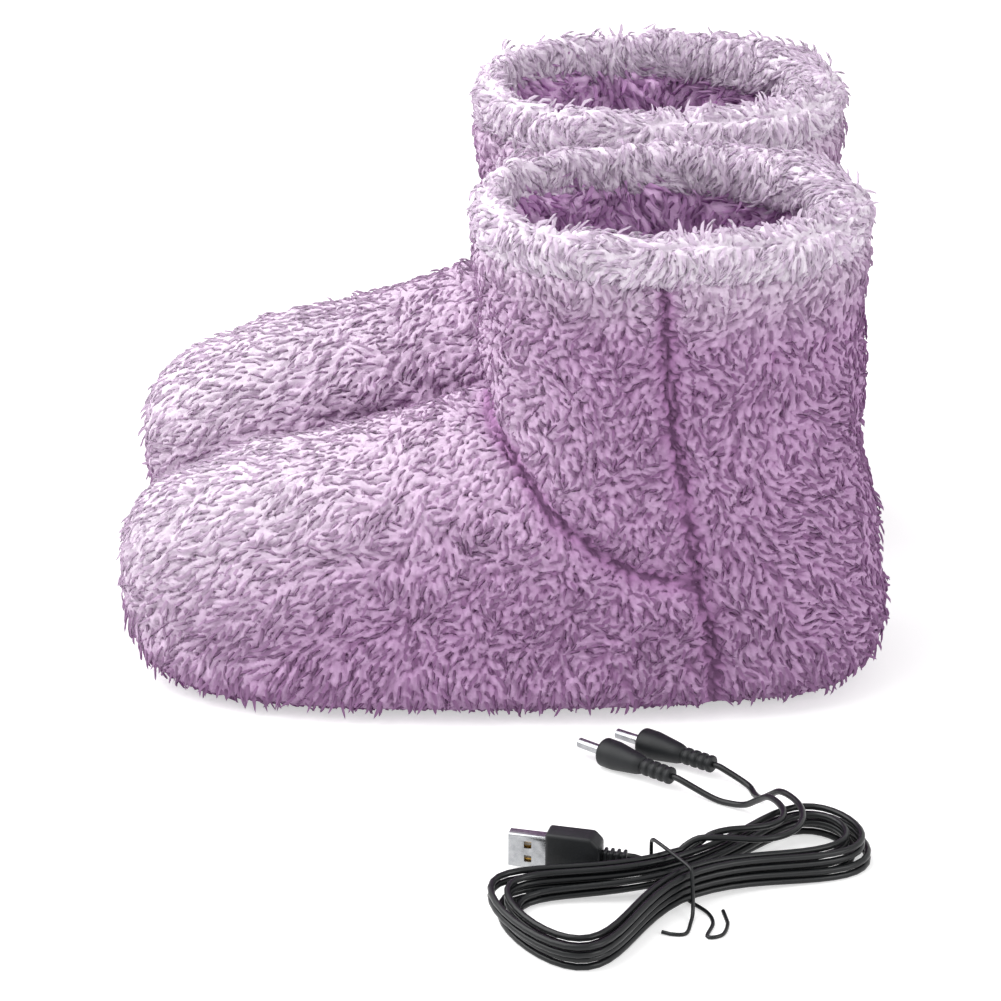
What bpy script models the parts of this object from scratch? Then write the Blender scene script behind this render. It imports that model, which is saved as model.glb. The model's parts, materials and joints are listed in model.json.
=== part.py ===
"""Pair of plush ankle boots with heated insoles, and the USB lead that feeds both, wound in a hank.

Metres, +Z up. Toes point along -X, the wearer's left boot stands at -Y, and the origin is on the floor under
the middle of the pair. Every boot is lofted over one last, whose ribs run from its front line to its back line.
"""

import math

import bmesh
import bpy
import numpy as np
from mathutils import Vector

# The last
foot_length = 0.274
foot_half_width = 0.053
instep_height = 0.105
shaft_rise = 0.075
toe_lean = 0.006
rib_count = 20
rib_sides = 18
boot_gap = 0.020
boot_spacing = 2 * foot_half_width + boot_gap

# Each rib of the last, toe to rim. Front and back ends: place along the foot, height as a share of the instep's
# and of the shaft's rise. Then half-width, height of the widest place, and how square the ground corners are.
rib_shares = (
    # front end          back end            width  widest  corners
    (0.000, 0.352, 0.0, 0.000, 0.352, 0.0, 0.000, 0.50, 2.2),
    (0.007, 0.467, 0.0, 0.007, 0.229, 0.0, 0.245, 0.45, 2.3),
    (0.033, 0.571, 0.0, 0.029, 0.105, 0.0, 0.453, 0.40, 2.8),
    (0.073, 0.648, 0.0, 0.066, 0.020, 0.0, 0.620, 0.36, 3.6),
    (0.135, 0.724, 0.0, 0.124, -0.02, 0.0, 0.774, 0.34, 4.8),
    (0.208, 0.781, 0.0, 0.201, -0.02, 0.0, 0.896, 0.32, 5.6),
    (0.288, 0.838, 0.0, 0.288, -0.02, 0.0, 0.962, 0.31, 6.0),
    (0.369, 0.895, 0.0, 0.383, -0.02, 0.0, 0.990, 0.31, 6.0),
    (0.438, 0.952, 0.0, 0.500, -0.02, 0.0, 1.000, 0.32, 6.0),
    (0.471, 1.0, 0.000, 0.646, -0.02, 0.0, 1.000, 0.36, 5.6),
    (0.476, 1.0, 0.093, 0.810, -0.02, 0.0, 0.990, 0.42, 4.4),
    (0.471, 1.0, 0.213, 0.931, 0.00, 0.00, 0.965, 0.46, 3.2),
    (0.469, 1.0, 0.333, 0.996, 0.19, 0.00, 0.955, 0.50, 2.6),
    (0.467, 1.0, 0.467, 0.989, 0.47, 0.00, 0.965, 0.50, 2.4),
    (0.465, 1.0, 0.587, 0.967, 0.78, 0.00, 0.985, 0.50, 2.3),
    (0.4635, 1.0, 0.707, 0.960, 1.0, 0.093, 1.000, 0.50, 2.3),
    (0.463, 1.0, 0.84, 0.960, 1.0, 0.533, 1.020, 0.50, 2.3),
    (0.463, 1.0, 1.0, 0.9635, 1.0, 1.0, 1.030, 0.50, 2.3),
)
front_roundness = 2.2

# Layers of the upper
panel_thickness = 0.009
lining_thickness = 0.007
seam_gap = 0.0004
fit_gap = 0.0003
lining_gap = 0.0005
cut_overrun = 0.010
merge_distance = 0.00001

# Seams in side view: share of the foot's length, share of the instep's height
side_seam_shares = (
    (0.775, -0.20), (0.763, 0.30), (0.745, 0.50), (0.733, 0.72), (0.711, 1.02), (0.702, 1.30), (0.690, 2.0),
)
vamp_seam_shares = (
    (0.745, 0.50), (0.715, 0.505), (0.672, 0.525), (0.631, 0.58), (0.591, 0.66),
    (0.558, 0.735), (0.529, 0.83), (0.500, 0.915), (0.478, 0.985), (0.39, 1.20),
)

# Rolled rim
rim_height = 0.020
rim_bulge = 0.0015
rim_steps = 6

# Sole: half-width along the foot, as shares of the foot's length and of its half-width
sole_shares = (
    (0.105, 0.0), (0.113, 0.22), (0.135, 0.42), (0.170, 0.55), (0.220, 0.64), (0.290, 0.70), (0.370, 0.72),
    (0.460, 0.70), (0.560, 0.67), (0.660, 0.66), (0.750, 0.65), (0.820, 0.61), (0.870, 0.52), (0.904, 0.31),
    (0.915, 0.0),
)
sole_point_count = 36
outsole_thickness = 0.0032
grip_dot_height = 0.0008
grip_dot_radius = 0.0032
grip_dot_spacing = 0.030
grip_dot_edge = 0.003
grip_dot_sides = 6
sole_hole_grow = 0.0004

# Heated insole
pad_thickness = 0.002
pad_inset = 0.004
wire_diameter = 0.0012
wire_inset = 0.006
wire_run_count = 6
wire_front_share = 0.155
wire_rear_share = 0.800
wire_lane = 0.004
insole_inset = 0.002
insole_thickness = 0.006
insole_crown = 0.0012
cutout_length = 0.010
cutout_width = 0.0115
cutout_height = 0.0022

# Heights of the layers of the sole and of the rim
outsole_total = outsole_thickness + grip_dot_height
midsole_start = outsole_total + fit_gap
pad_start = panel_thickness + fit_gap
wire_height = pad_start + pad_thickness + fit_gap + 0.5 * wire_diameter
insole_start = pad_start + pad_thickness + 2 * fit_gap + cutout_height
insole_top = insole_start + insole_thickness + insole_crown
boot_height = instep_height + shaft_rise
rim_start = boot_height - rim_height

# Power socket in the back of the heel
socket_height = 0.042
socket_radius = 0.0045
socket_length = 0.0125
socket_flange_radius = 0.0065
socket_flange_thickness = 0.0012
socket_bore_radius = 0.0019
socket_bore_depth = 0.0095
socket_pin_radius = 0.0006
socket_pin_setback = 0.001
socket_sides = 12
socket_sink = 0.0022
pad_lead_diameter = 0.0016
pad_lead_groove = 0.0004
pad_lead_bend = ((0.0080, 0.0130), (0.0048, 0.0045), (0.0019, -0.0006))

# USB plug, which lies on its narrow edge
usb_tip = Vector((0.0030, -0.2170, 0.0080))
usb_turn = math.radians(-14.0)
usb_shell_length = 0.0125
usb_shell_seat = 0.004
usb_shell_width = 0.0120
usb_shell_height = 0.0045
usb_shell_wall = 0.0003
usb_window_side = 0.0024
usb_window_gap = 0.0050
usb_window_setback = 0.0065
usb_tongue_width = 0.0106
usb_tongue_height = 0.0019
usb_tongue_setback = 0.0006
usb_tongue_lift = 0.0006
usb_contact_count = 4
usb_contact_pitch = 0.0023
usb_contact_width = 0.0010
usb_contact_height = 0.0004
usb_contact_length = 0.0080
usb_contact_setback = 0.0012
usb_grip_length = 0.0180
usb_grip_width = 0.0160
usb_grip_height = 0.0080
usb_grip_chamfer = 0.0040
usb_grip_round = 0.0012
usb_relief_width = 0.0062
usb_relief_height = 0.0042
usb_relief_groove = 0.0007
relief_rib_count = 4
relief_rib_pitch = 0.0021

# Barrel plugs
plug_lengths = {"barrel": 0.0100, "body": 0.0170, "seat": 0.004}
barrel_radius = 0.00175
barrel_bore_radius = 0.00070
barrel_wall = 0.0004
plug_collar_radius = 0.0050
plug_waist_radius = 0.0036
plug_relief_radius = 0.0030
plug_relief_groove = 0.0007
plug_rib_count = 4
plug_rib_pitch = 0.0031
plug_sides = 12
plug_tips = {"plug_1": Vector((0.0270, -0.1378, 0.0)), "plug_2": Vector((0.0400, -0.1310, 0.0))}
plug_turns = {"plug_1": math.radians(-39.0), "plug_2": math.radians(-36.0)}

# Power lead: two thin leads that run side by side
lead_diameter = 0.0022
lead_pitch = 0.0027
lead_bevel_resolution = 2
hank_bevel_resolution = 1
route_step = 0.0055

# Hank: the leads spiral in and out again, one above the other, and climb two layers where they reverse
hank_centre = Vector((0.0600, -0.2335, 0.0))
hank_turn = math.radians(31.6)
hank_turn_count = 2
hank_turn_points = 24
hank_inner_half_length = 0.0580
hank_length_step = 0.0042
hank_inner_waist = 0.0015
hank_waist_step = 0.0034
hank_inner_left_flare = 0.0460
hank_inner_right_flare = 0.0260
hank_flare_step = 0.0110
hank_start_turns = 0.035
waist_lift = 0.0020

# Wire tie round the hank's waist
tie_diameter = 0.0013
tie_clearance = 0.0019
tie_setback = 0.0040
tie_half_pitch = 0.0014
tie_points = 16
tie_step = 0.0034
tie_floor_gap = 0.00005

# Routes of the leads outside the hank and of the tie's ends: along the hank, across it, and height
feed_via = (-0.0030, 0.0116)
feed_pitch = 0.0031
tail_routes = {
    "plug_1": (
        (0.0050, 0.0089, 0.0090), (0.0100, 0.0091, 0.0110), (0.0150, 0.0090, 0.0130), (0.0205, 0.0074, 0.0138),
        (0.0270, 0.0050, 0.0137), (0.0340, 0.0038, 0.0133), (0.0400, 0.0055, 0.0129), (0.0443, 0.0102, 0.0127),
        (0.0463, 0.0163, 0.0125), (0.0470, 0.0230, 0.0114), (0.0470, 0.0290, 0.0074), (0.0464, 0.0350, 0.0032),
        (0.0445, 0.0410, 0.0015), (0.0416, 0.0472, 0.0016),
    ),
    "plug_2": (
        (0.0046, 0.0081, 0.0124), (0.0085, 0.0070, 0.0142), (0.0130, 0.0042, 0.0146), (0.0180, 0.0010, 0.0144),
        (0.0240, -0.0026, 0.0140),
        (0.0310, -0.0045, 0.0135), (0.0390, -0.0030, 0.0130), (0.0460, 0.0020, 0.0127), (0.0505, 0.0090, 0.0126),
        (0.0523, 0.0165, 0.0125), (0.0526, 0.0240, 0.0114), (0.0529, 0.0300, 0.0074), (0.0537, 0.0360, 0.0032),
        (0.0552, 0.0420, 0.0015), (0.0566, 0.0485, 0.0019),
    ),
}
tie_start_route = (
    (-0.0215, -0.0175, 0.0007), (-0.0200, -0.0200, 0.0007), (-0.0158, -0.0224, 0.0007), (-0.0108, -0.0178, 0.0009),
    (-0.0074, -0.0140, 0.0030),
)
tie_end_route = (
    (-0.0024, -0.0150, 0.0007), (-0.0048, -0.0215, 0.0007), (-0.0110, -0.0275, 0.0007), (-0.0062, -0.0290, 0.0007),
    (-0.0005, -0.0235, 0.0007), (0.0025, -0.0165, 0.0007),
)


def fresh_scene():
    for old in list(bpy.data.objects):
        bpy.data.objects.remove(old, do_unlink=True)


def material(name, colour, roughness, metallic=0.0):
    made = bpy.data.materials.new(name)
    made.use_nodes = True
    shader = made.node_tree.nodes["Principled BSDF"]
    shader.inputs["Base Color"].default_value = (*colour, 1.0)
    shader.inputs["Roughness"].default_value = roughness
    shader.inputs["Metallic"].default_value = metallic
    return made


def make_materials():
    return {
        "plush": material("lilac_plush", (0.47, 0.29, 0.48), 0.95),
        "rim": material("lilac_plush_rim", (0.66, 0.50, 0.67), 0.95),
        "lining": material("mauve_fleece", (0.36, 0.20, 0.38), 0.95),
        "outsole": material("grip_fabric", (0.10, 0.08, 0.11), 0.80),
        "foam": material("eva_foam", (0.75, 0.74, 0.72), 0.90),
        "felt": material("pad_felt", (0.62, 0.60, 0.58), 0.95),
        "wire": material("heating_wire", (0.55, 0.10, 0.06), 0.60),
        "black_plastic": material("black_plastic", (0.018, 0.020, 0.022), 0.45),
        "pvc": material("black_pvc", (0.020, 0.022, 0.024), 0.40),
        "nickel": material("nickel_plate", (0.72, 0.72, 0.73), 0.22, 1.0),
        "gold": material("gilt_contact", (0.83, 0.62, 0.27), 0.28, 1.0),
        "white_plastic": material("white_plastic", (0.82, 0.82, 0.80), 0.45),
    }


def anchor(name, place=(0.0, 0.0, 0.0)):
    empty = bpy.data.objects.new(name, None)
    empty.location = place
    bpy.context.scene.collection.objects.link(empty)
    return empty


def place(obj, finish, parent):
    bpy.context.scene.collection.objects.link(obj)
    obj.parent = parent
    if finish:
        obj.data.materials.append(finish)
    return obj


def mesh_object(name, bm, finish, parent, smooth=True):
    bmesh.ops.recalc_face_normals(bm, faces=bm.faces)
    mesh = bpy.data.meshes.new(name)
    bm.to_mesh(mesh)
    bm.free()
    if smooth:
        mesh.shade_smooth()
        mesh.set_sharp_from_angle(angle=math.radians(40.0))
    return place(bpy.data.objects.new(name, mesh), finish, parent)


def as_cutter(obj):
    obj.hide_render = True
    obj.display_type = "WIRE"
    return obj


def combine(obj, other, operation="DIFFERENCE"):
    modifier = obj.modifiers.new(other.name, "BOOLEAN")
    modifier.operation = operation
    modifier.object = other
    return obj


def skin_rings(bm, rings, closed=False):
    """Side faces between rings of as many points; returns the rings' vertices."""
    rows = [[bm.verts.new(point) for point in ring] for ring in rings]
    count = len(rows[0])
    pairs = list(zip(rows, rows[1:])) + ([(rows[-1], rows[0])] if closed else [])
    for low, high in pairs:
        for i in range(count):
            j = (i + 1) % count
            bm.faces.new((low[i], low[j], high[j], high[i]))
    return rows


def ring_loft(rings):
    """A closed loft with a flat cap on each end."""
    bm = bmesh.new()
    rows = skin_rings(bm, rings)
    bm.faces.new(rows[0])
    bm.faces.new(rows[-1])
    return bm


def prism(outline, start, end, to_point):
    """An outline run from one level to another; to_point places (a, b, level)."""
    return ring_loft([[to_point(a, b, level) for a, b in outline] for level in (start, end)])


def upright(x, y, level):
    return Vector((x, y, level))


def sideways(x, z, level):
    return Vector((x, level, z))


def block(bm_size, centre):
    """A box of the given size about a centre."""
    bm = bmesh.new()
    bmesh.ops.create_cube(bm, size=1.0)
    bmesh.ops.scale(bm, vec=bm_size, verts=bm.verts)
    bmesh.ops.translate(bm, vec=centre, verts=bm.verts)
    return bm


def spline_samples(rows, count):
    """A Catmull-Rom curve through the rows, read at even steps of the row number."""
    rows = np.asarray(rows, float)
    padded = np.vstack((2 * rows[0] - rows[1], rows, 2 * rows[-1] - rows[-2]))
    found = []
    for at in np.linspace(0, len(rows) - 1, count):
        i = min(int(at), len(rows) - 2)
        t = at - i
        a, b, c, d = padded[i : i + 4]
        found.append(0.5 * (2 * b + (c - a) * t + (2 * a - 5 * b + 4 * c - d) * t**2 + (3 * b - a - 3 * c + d) * t**3))
    return np.array(found)


def offset_outline(points, distance):
    """A closed outline moved along its own normals, outwards when distance is above zero."""
    points = np.asarray(points, float)
    area = np.sum(points[:, 0] * np.roll(points[:, 1], -1) - np.roll(points[:, 0], -1) * points[:, 1])
    before = points - np.roll(points, 1, axis=0)
    after = np.roll(points, -1, axis=0) - points
    normals = []
    for edges in (before, after):
        edges = edges / np.linalg.norm(edges, axis=1, keepdims=True)
        normals.append(np.stack((edges[:, 1], -edges[:, 0]), axis=1) * math.copysign(1.0, area))
    middle = normals[0] + normals[1]
    reach = 2.0 / np.maximum((middle**2).sum(axis=1, keepdims=True), 0.5)
    return points + distance * middle * reach


class Last:
    """The foot form that one boot is lofted over; depth moves its surface inwards."""

    def __init__(self, lean):
        self.lean = lean
        rows = spline_samples(rib_shares, rib_count)
        self.front = self.line(rows[:, 0:3])
        self.back = self.line(rows[:, 3:6])
        self.width, self.widest, self.corners = rows[:, 6] * foot_half_width, rows[:, 7], rows[:, 8]
        self.front_in = self.inward(self.front, self.back)
        self.back_in = self.inward(self.back, self.front)

    @staticmethod
    def line(shares):
        along = (shares[:, 0] - 0.5) * foot_length
        return np.stack((along, shares[:, 1] * instep_height + shares[:, 2] * shaft_rise), axis=1)

    @staticmethod
    def inward(line, other):
        """Unit normals of a profile line in side view, towards the other line."""
        tangent = np.gradient(line, axis=0)
        normal = np.stack((-tangent[:, 1], tangent[:, 0]), axis=1)
        normal /= np.linalg.norm(normal, axis=1, keepdims=True)
        facing = np.sign(np.sum(normal * (other - line), axis=1, keepdims=True))
        normal *= np.where(facing == 0, 1.0, facing)
        normal[0] = (1.0, 0.0)
        normal[-1, 1] = 0.0
        return normal

    def point(self, rib, angle, depth=0.0):
        front = self.front[rib] + depth * self.front_in[rib]
        back = self.back[rib] + depth * self.back_in[rib]
        width = self.width[rib] - depth * math.sqrt(max(self.width[rib], 0.0) / foot_half_width)
        middle = back + (front - back) * self.widest[rib]
        reach, side = math.cos(angle), math.sin(angle)
        power = 2.0 / (self.corners[rib] if reach > 0 else front_roundness)
        end = back if reach > 0 else front
        x, z = middle + (end - middle) * abs(reach) ** power
        y = math.copysign(abs(side) ** power, side) * width
        toe_share = max(0.5 - (x / foot_length + 0.5), 0.0) * 2.0
        return Vector((x, y + self.lean * toe_share**2, max(z, depth)))

    def ring(self, rib, depth=0.0):
        return [self.point(rib, 2 * math.pi * i / rib_sides, depth) for i in range(rib_sides)]

    def solid(self, depth=0.0, rise=0.0):
        """The closed form at a depth, run straight up past the rim by rise."""
        bm = bmesh.new()
        rings = [self.ring(rib, depth) for rib in range(1, rib_count)]
        if rise:
            rings.append([point + Vector((0.0, 0.0, rise)) for point in rings[-1]])
        rows = skin_rings(bm, rings)
        toe = bm.verts.new(self.point(0, 0.0, depth))
        for i in range(rib_sides):
            bm.faces.new((toe, rows[0][(i + 1) % rib_sides], rows[0][i]))
        bm.faces.new(rows[-1])
        bmesh.ops.triangulate(bm, faces=bm.faces, quad_method="FIXED")
        return bm


def side_view_points(shares):
    return [((x - 0.5) * foot_length, z * instep_height) for x, z in shares]


def seam_regions():
    """Where each panel lies in side view: closed outlines that meet at the seams."""
    left = -0.5 * foot_length - cut_overrun
    right = 0.5 * foot_length + cut_overrun
    low, high = -cut_overrun, instep_height + shaft_rise + cut_overrun
    side, vamp = side_view_points(side_seam_shares), side_view_points(vamp_seam_shares)
    junction = side_seam_shares.index(vamp_seam_shares[0])
    seam_top = side[-1]
    above = seam_top[1] + high
    shaft_top = [(seam_top[0], above), (left, above), (left, vamp[-1][1])]
    regions = {
        "vamp": [(left, low)] + side[: junction + 1] + vamp[1:] + [(left, vamp[-1][1])],
        "shaft_front": vamp[::-1] + side[junction + 1 :] + shaft_top,
        "heel": side[::-1] + [(right, low), (right, seam_top[1])],
    }
    return {name: offset_outline(points, -0.5 * seam_gap) for name, points in regions.items()}


def sole_outline(lean, grow=0.0):
    """Closed outline of the sole at half-widths read along the foot, moved outwards by grow."""
    half = spline_samples(sole_shares, sole_point_count // 2 + 1)
    along = (half[:, 0] - 0.5) * foot_length
    wide = np.maximum(half[:, 1], 0.0) * foot_half_width
    drift = lean * np.maximum(1.0 - 2.0 * half[:, 0], 0.0) ** 2
    upper = list(zip(along, drift + wide))
    lower = list(zip(along, drift - wide))
    return offset_outline(upper[::-1] + lower[1:-1], grow)


def sole_half_width(along):
    """The sole's half-width at a place along the foot."""
    shares = np.array(sole_shares)
    return float(np.interp(along / foot_length + 0.5, shares[:, 0], shares[:, 1])) * foot_half_width


def grip_dots(lean):
    """Places of the grip dots, in rows that follow the sole."""
    edge = grip_dot_radius + grip_dot_edge
    start = (sole_shares[0][0] - 0.5) * foot_length + edge + grip_dot_radius
    end = (sole_shares[-1][0] - 0.5) * foot_length - edge - grip_dot_radius
    rows = int((end - start) / grip_dot_spacing)
    for row in range(rows + 1):
        x = start + row * (end - start) / rows
        room = sole_half_width(x) - edge
        drift = lean * max(-2.0 * x / foot_length, 0.0) ** 2
        count = int(2 * room / grip_dot_spacing) + 1
        for i in range(count):
            yield x, drift + (i - 0.5 * (count - 1)) * grip_dot_spacing


def outsole(name, lean, finish, parent):
    """Grip fabric with its moulded dots, which stand on the floor."""
    sheet = prism(sole_outline(lean), grip_dot_height, outsole_total, upright)
    obj = mesh_object(name, sheet, finish, parent, smooth=False)
    dots = bmesh.new()
    sink = 0.5 * outsole_thickness
    for x, y in grip_dots(lean):
        ring = bmesh.ops.create_cone(
            dots, cap_ends=True, segments=grip_dot_sides, radius1=grip_dot_radius, radius2=grip_dot_radius,
            depth=grip_dot_height + sink,
        )
        bmesh.ops.translate(dots, verts=ring["verts"], vec=(x, y, 0.5 * (grip_dot_height + sink)))
    dot_object = as_cutter(mesh_object(name + ".dots", dots, None, parent, smooth=False))
    return combine(obj, dot_object, "UNION")


def slab(name, outline, start, end, finish, parent):
    return mesh_object(name, prism(outline, start, end, upright), finish, parent, smooth=False)


def insole(name, lean, finish, parent):
    """Plush insole: its edge is rolled over and its middle crowned."""
    outline = sole_outline(lean, -insole_inset)
    round_share = 0.4
    edge = insole_thickness * round_share
    rings = [
        [Vector((x, y, insole_start + rise)) for x, y in offset_outline(outline, -inset)]
        for rise, inset in ((0.0, 0.0), (insole_thickness - edge, 0.0), (insole_thickness, edge))
    ]
    middle_share = 0.5
    centre = sum(rings[-1], Vector()) / len(rings[-1])
    crown = [centre + (point - centre) * middle_share + Vector((0.0, 0.0, insole_crown)) for point in rings[-1]]
    return mesh_object(name, ring_loft(rings + [crown]), finish, parent)


def heating_path(lean):
    """Serpentine: forward along one half of the pad, round the toe, and back along the other half."""
    front = (wire_front_share - 0.5) * foot_length
    rear = (wire_rear_share - 0.5) * foot_length
    half_path = []
    for run in range(wire_run_count):
        for turn in (0, 1):
            x = rear + (front - rear) * (run + 0.5 * turn) / (wire_run_count - 0.5)
            room = sole_half_width(x) - wire_inset
            ends = (wire_lane, room) if turn == 0 else (room, wire_lane)
            half_path += [(x, y) for y in ends]
    path = [(rear + cutout_length, wire_lane)] + half_path
    path += [(x, -y) for x, y in reversed(path)]
    return [Vector((x, y + lean * max(-2.0 * x / foot_length, 0.0) ** 2, wire_height)) for x, y in path]


def tube(name, points, diameter, finish, parent, resolution):
    """A round tube along the points, with filled ends."""
    curve = bpy.data.curves.new(name, "CURVE")
    curve.dimensions = "3D"
    curve.bevel_depth = 0.5 * diameter
    curve.bevel_resolution = resolution
    curve.use_fill_caps = True
    spline = curve.splines.new("POLY")
    spline.points.add(len(points) - 1)
    for target, point in zip(spline.points, points):
        target.co = (*point, 1.0)
    return place(bpy.data.objects.new(name, curve), finish, parent)


def tube_cutter(name, points, diameter, parent):
    """The same tube as a mesh, for a groove: rings square to the path."""
    rings = []
    sides = 8
    for i, point in enumerate(points):
        ahead = points[min(i + 1, len(points) - 1)] - points[max(i - 1, 0)]
        across = ahead.cross(Vector((0.0, 1.0, 0.0))).normalized()
        up = across.cross(ahead).normalized()
        turns = (2 * math.pi * k / sides for k in range(sides))
        rings.append([point + 0.5 * diameter * (math.cos(t) * across + math.sin(t) * up) for t in turns])
    return as_cutter(mesh_object(name, ring_loft(rings), None, parent, smooth=False))


def turned(profile, sides, origin, axis):
    """A solid turned about an axis from (along, radius) points that start and end on it."""
    axis = axis.normalized()
    across = axis.orthogonal().normalized()
    bm = bmesh.new()
    verts = [bm.verts.new(origin + along * axis + radius * across) for along, radius in profile]
    edges = [bm.edges.new(pair) for pair in zip(verts, verts[1:])]
    bmesh.ops.spin(bm, geom=verts + edges, cent=origin, axis=axis, angle=2 * math.pi, steps=sides, use_merge=True)
    bmesh.ops.remove_doubles(bm, verts=bm.verts, dist=merge_distance)
    return bm


def heel_face(last):
    """Where the back of the heel lies at the socket's height."""
    lowest = int(np.argmax(last.back[:, 0]))
    return float(np.interp(socket_height, last.back[lowest:, 1], last.back[lowest:, 0]))


def socket_parts(side_name, last, stuff, parent):
    """Barrel socket let into the heel, its centre pin, and the cutters that make room for it."""
    face = heel_face(last) - socket_sink
    origin = Vector((face, 0.0, socket_height))
    inwards = Vector((-1.0, 0.0, 0.0))
    flange, radius = socket_flange_thickness, socket_radius
    body = turned(
        (
            (socket_bore_depth, 0.0), (socket_bore_depth, socket_bore_radius), (0.0, socket_bore_radius),
            (0.0, socket_flange_radius), (flange, socket_flange_radius), (flange, radius),
            (socket_length, radius), (socket_length, 0.0),
        ),
        socket_sides, origin, inwards,
    )
    mesh_object(f"{side_name}_power_socket", body, stuff["black_plastic"], parent)
    pin = turned(
        ((socket_pin_setback, 0.0), (socket_pin_setback, socket_pin_radius),
         (socket_bore_depth - fit_gap, socket_pin_radius), (socket_bore_depth - fit_gap, 0.0)),
        socket_sides, origin, inwards,
    )
    mesh_object(f"{side_name}_socket_pin", pin, stuff["nickel"], parent)
    pocket = turned(
        (
            (-cut_overrun, 0.0), (-cut_overrun, socket_flange_radius + fit_gap),
            (flange + fit_gap, socket_flange_radius + fit_gap),
            (flange + fit_gap, radius + fit_gap), (socket_length + fit_gap, radius + fit_gap), (socket_length + fit_gap, 0.0),
        ),
        socket_sides, origin, inwards,
    )
    return as_cutter(mesh_object(f"{side_name}.socket_pocket", pocket, None, parent)), origin


def pad_lead_path(socket_origin):
    """Down the inner face of the heel from the socket, round the insole's rear edge, forward to the cut-out."""
    wall = socket_origin.x - socket_length + 0.5 * pad_lead_diameter + socket_pin_setback
    start = Vector((wall, 0.0, socket_height - socket_radius - fit_gap))
    end_x = cutout_front() + cutout_length + fit_gap
    low = pad_start + pad_thickness + fit_gap + 0.5 * pad_lead_diameter
    insole_end = (sole_shares[-1][0] - 0.5) * foot_length - insole_inset
    route = [start, start - Vector((0.0, 0.0, pad_lead_diameter))]
    route += [Vector((insole_end + along, 0.0, insole_start + rise)) for along, rise in pad_lead_bend]
    route += [
        Vector((insole_end - 2 * pad_lead_diameter, 0.0, low)),
        Vector((end_x + pad_lead_diameter, 0.0, low)), Vector((end_x, 0.0, low)),
    ]
    return [Vector(point) for point in spline_samples(route, 2 * len(route) - 1)]


def cutout_front():
    return (wire_rear_share - 0.5) * foot_length + cutout_length + fit_gap


def rim_roll(name, last, finish, parent):
    """The top edge turned over to the inside: flat where it sits on panels and lining, round above."""
    wall = panel_thickness + lining_thickness + lining_gap
    middle, half = 0.5 * wall, 0.5 * wall + rim_bulge
    crown_share = 0.55
    crown = rim_height * crown_share
    base = rim_start + fit_gap
    shoulder = boot_height - crown
    section = [(middle - half, base)]
    for step in range(rim_steps + 1):
        angle = math.pi * step / rim_steps
        section.append((middle - half * math.cos(angle), shoulder + crown * math.sin(angle)))
    section.append((middle + half, base))
    bm = bmesh.new()
    loops = [[Vector((p.x, p.y, height)) for p in last.ring(rib_count - 1, depth)] for depth, height in section]
    skin_rings(bm, loops, closed=True)
    return mesh_object(name, bm, finish, parent)


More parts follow.
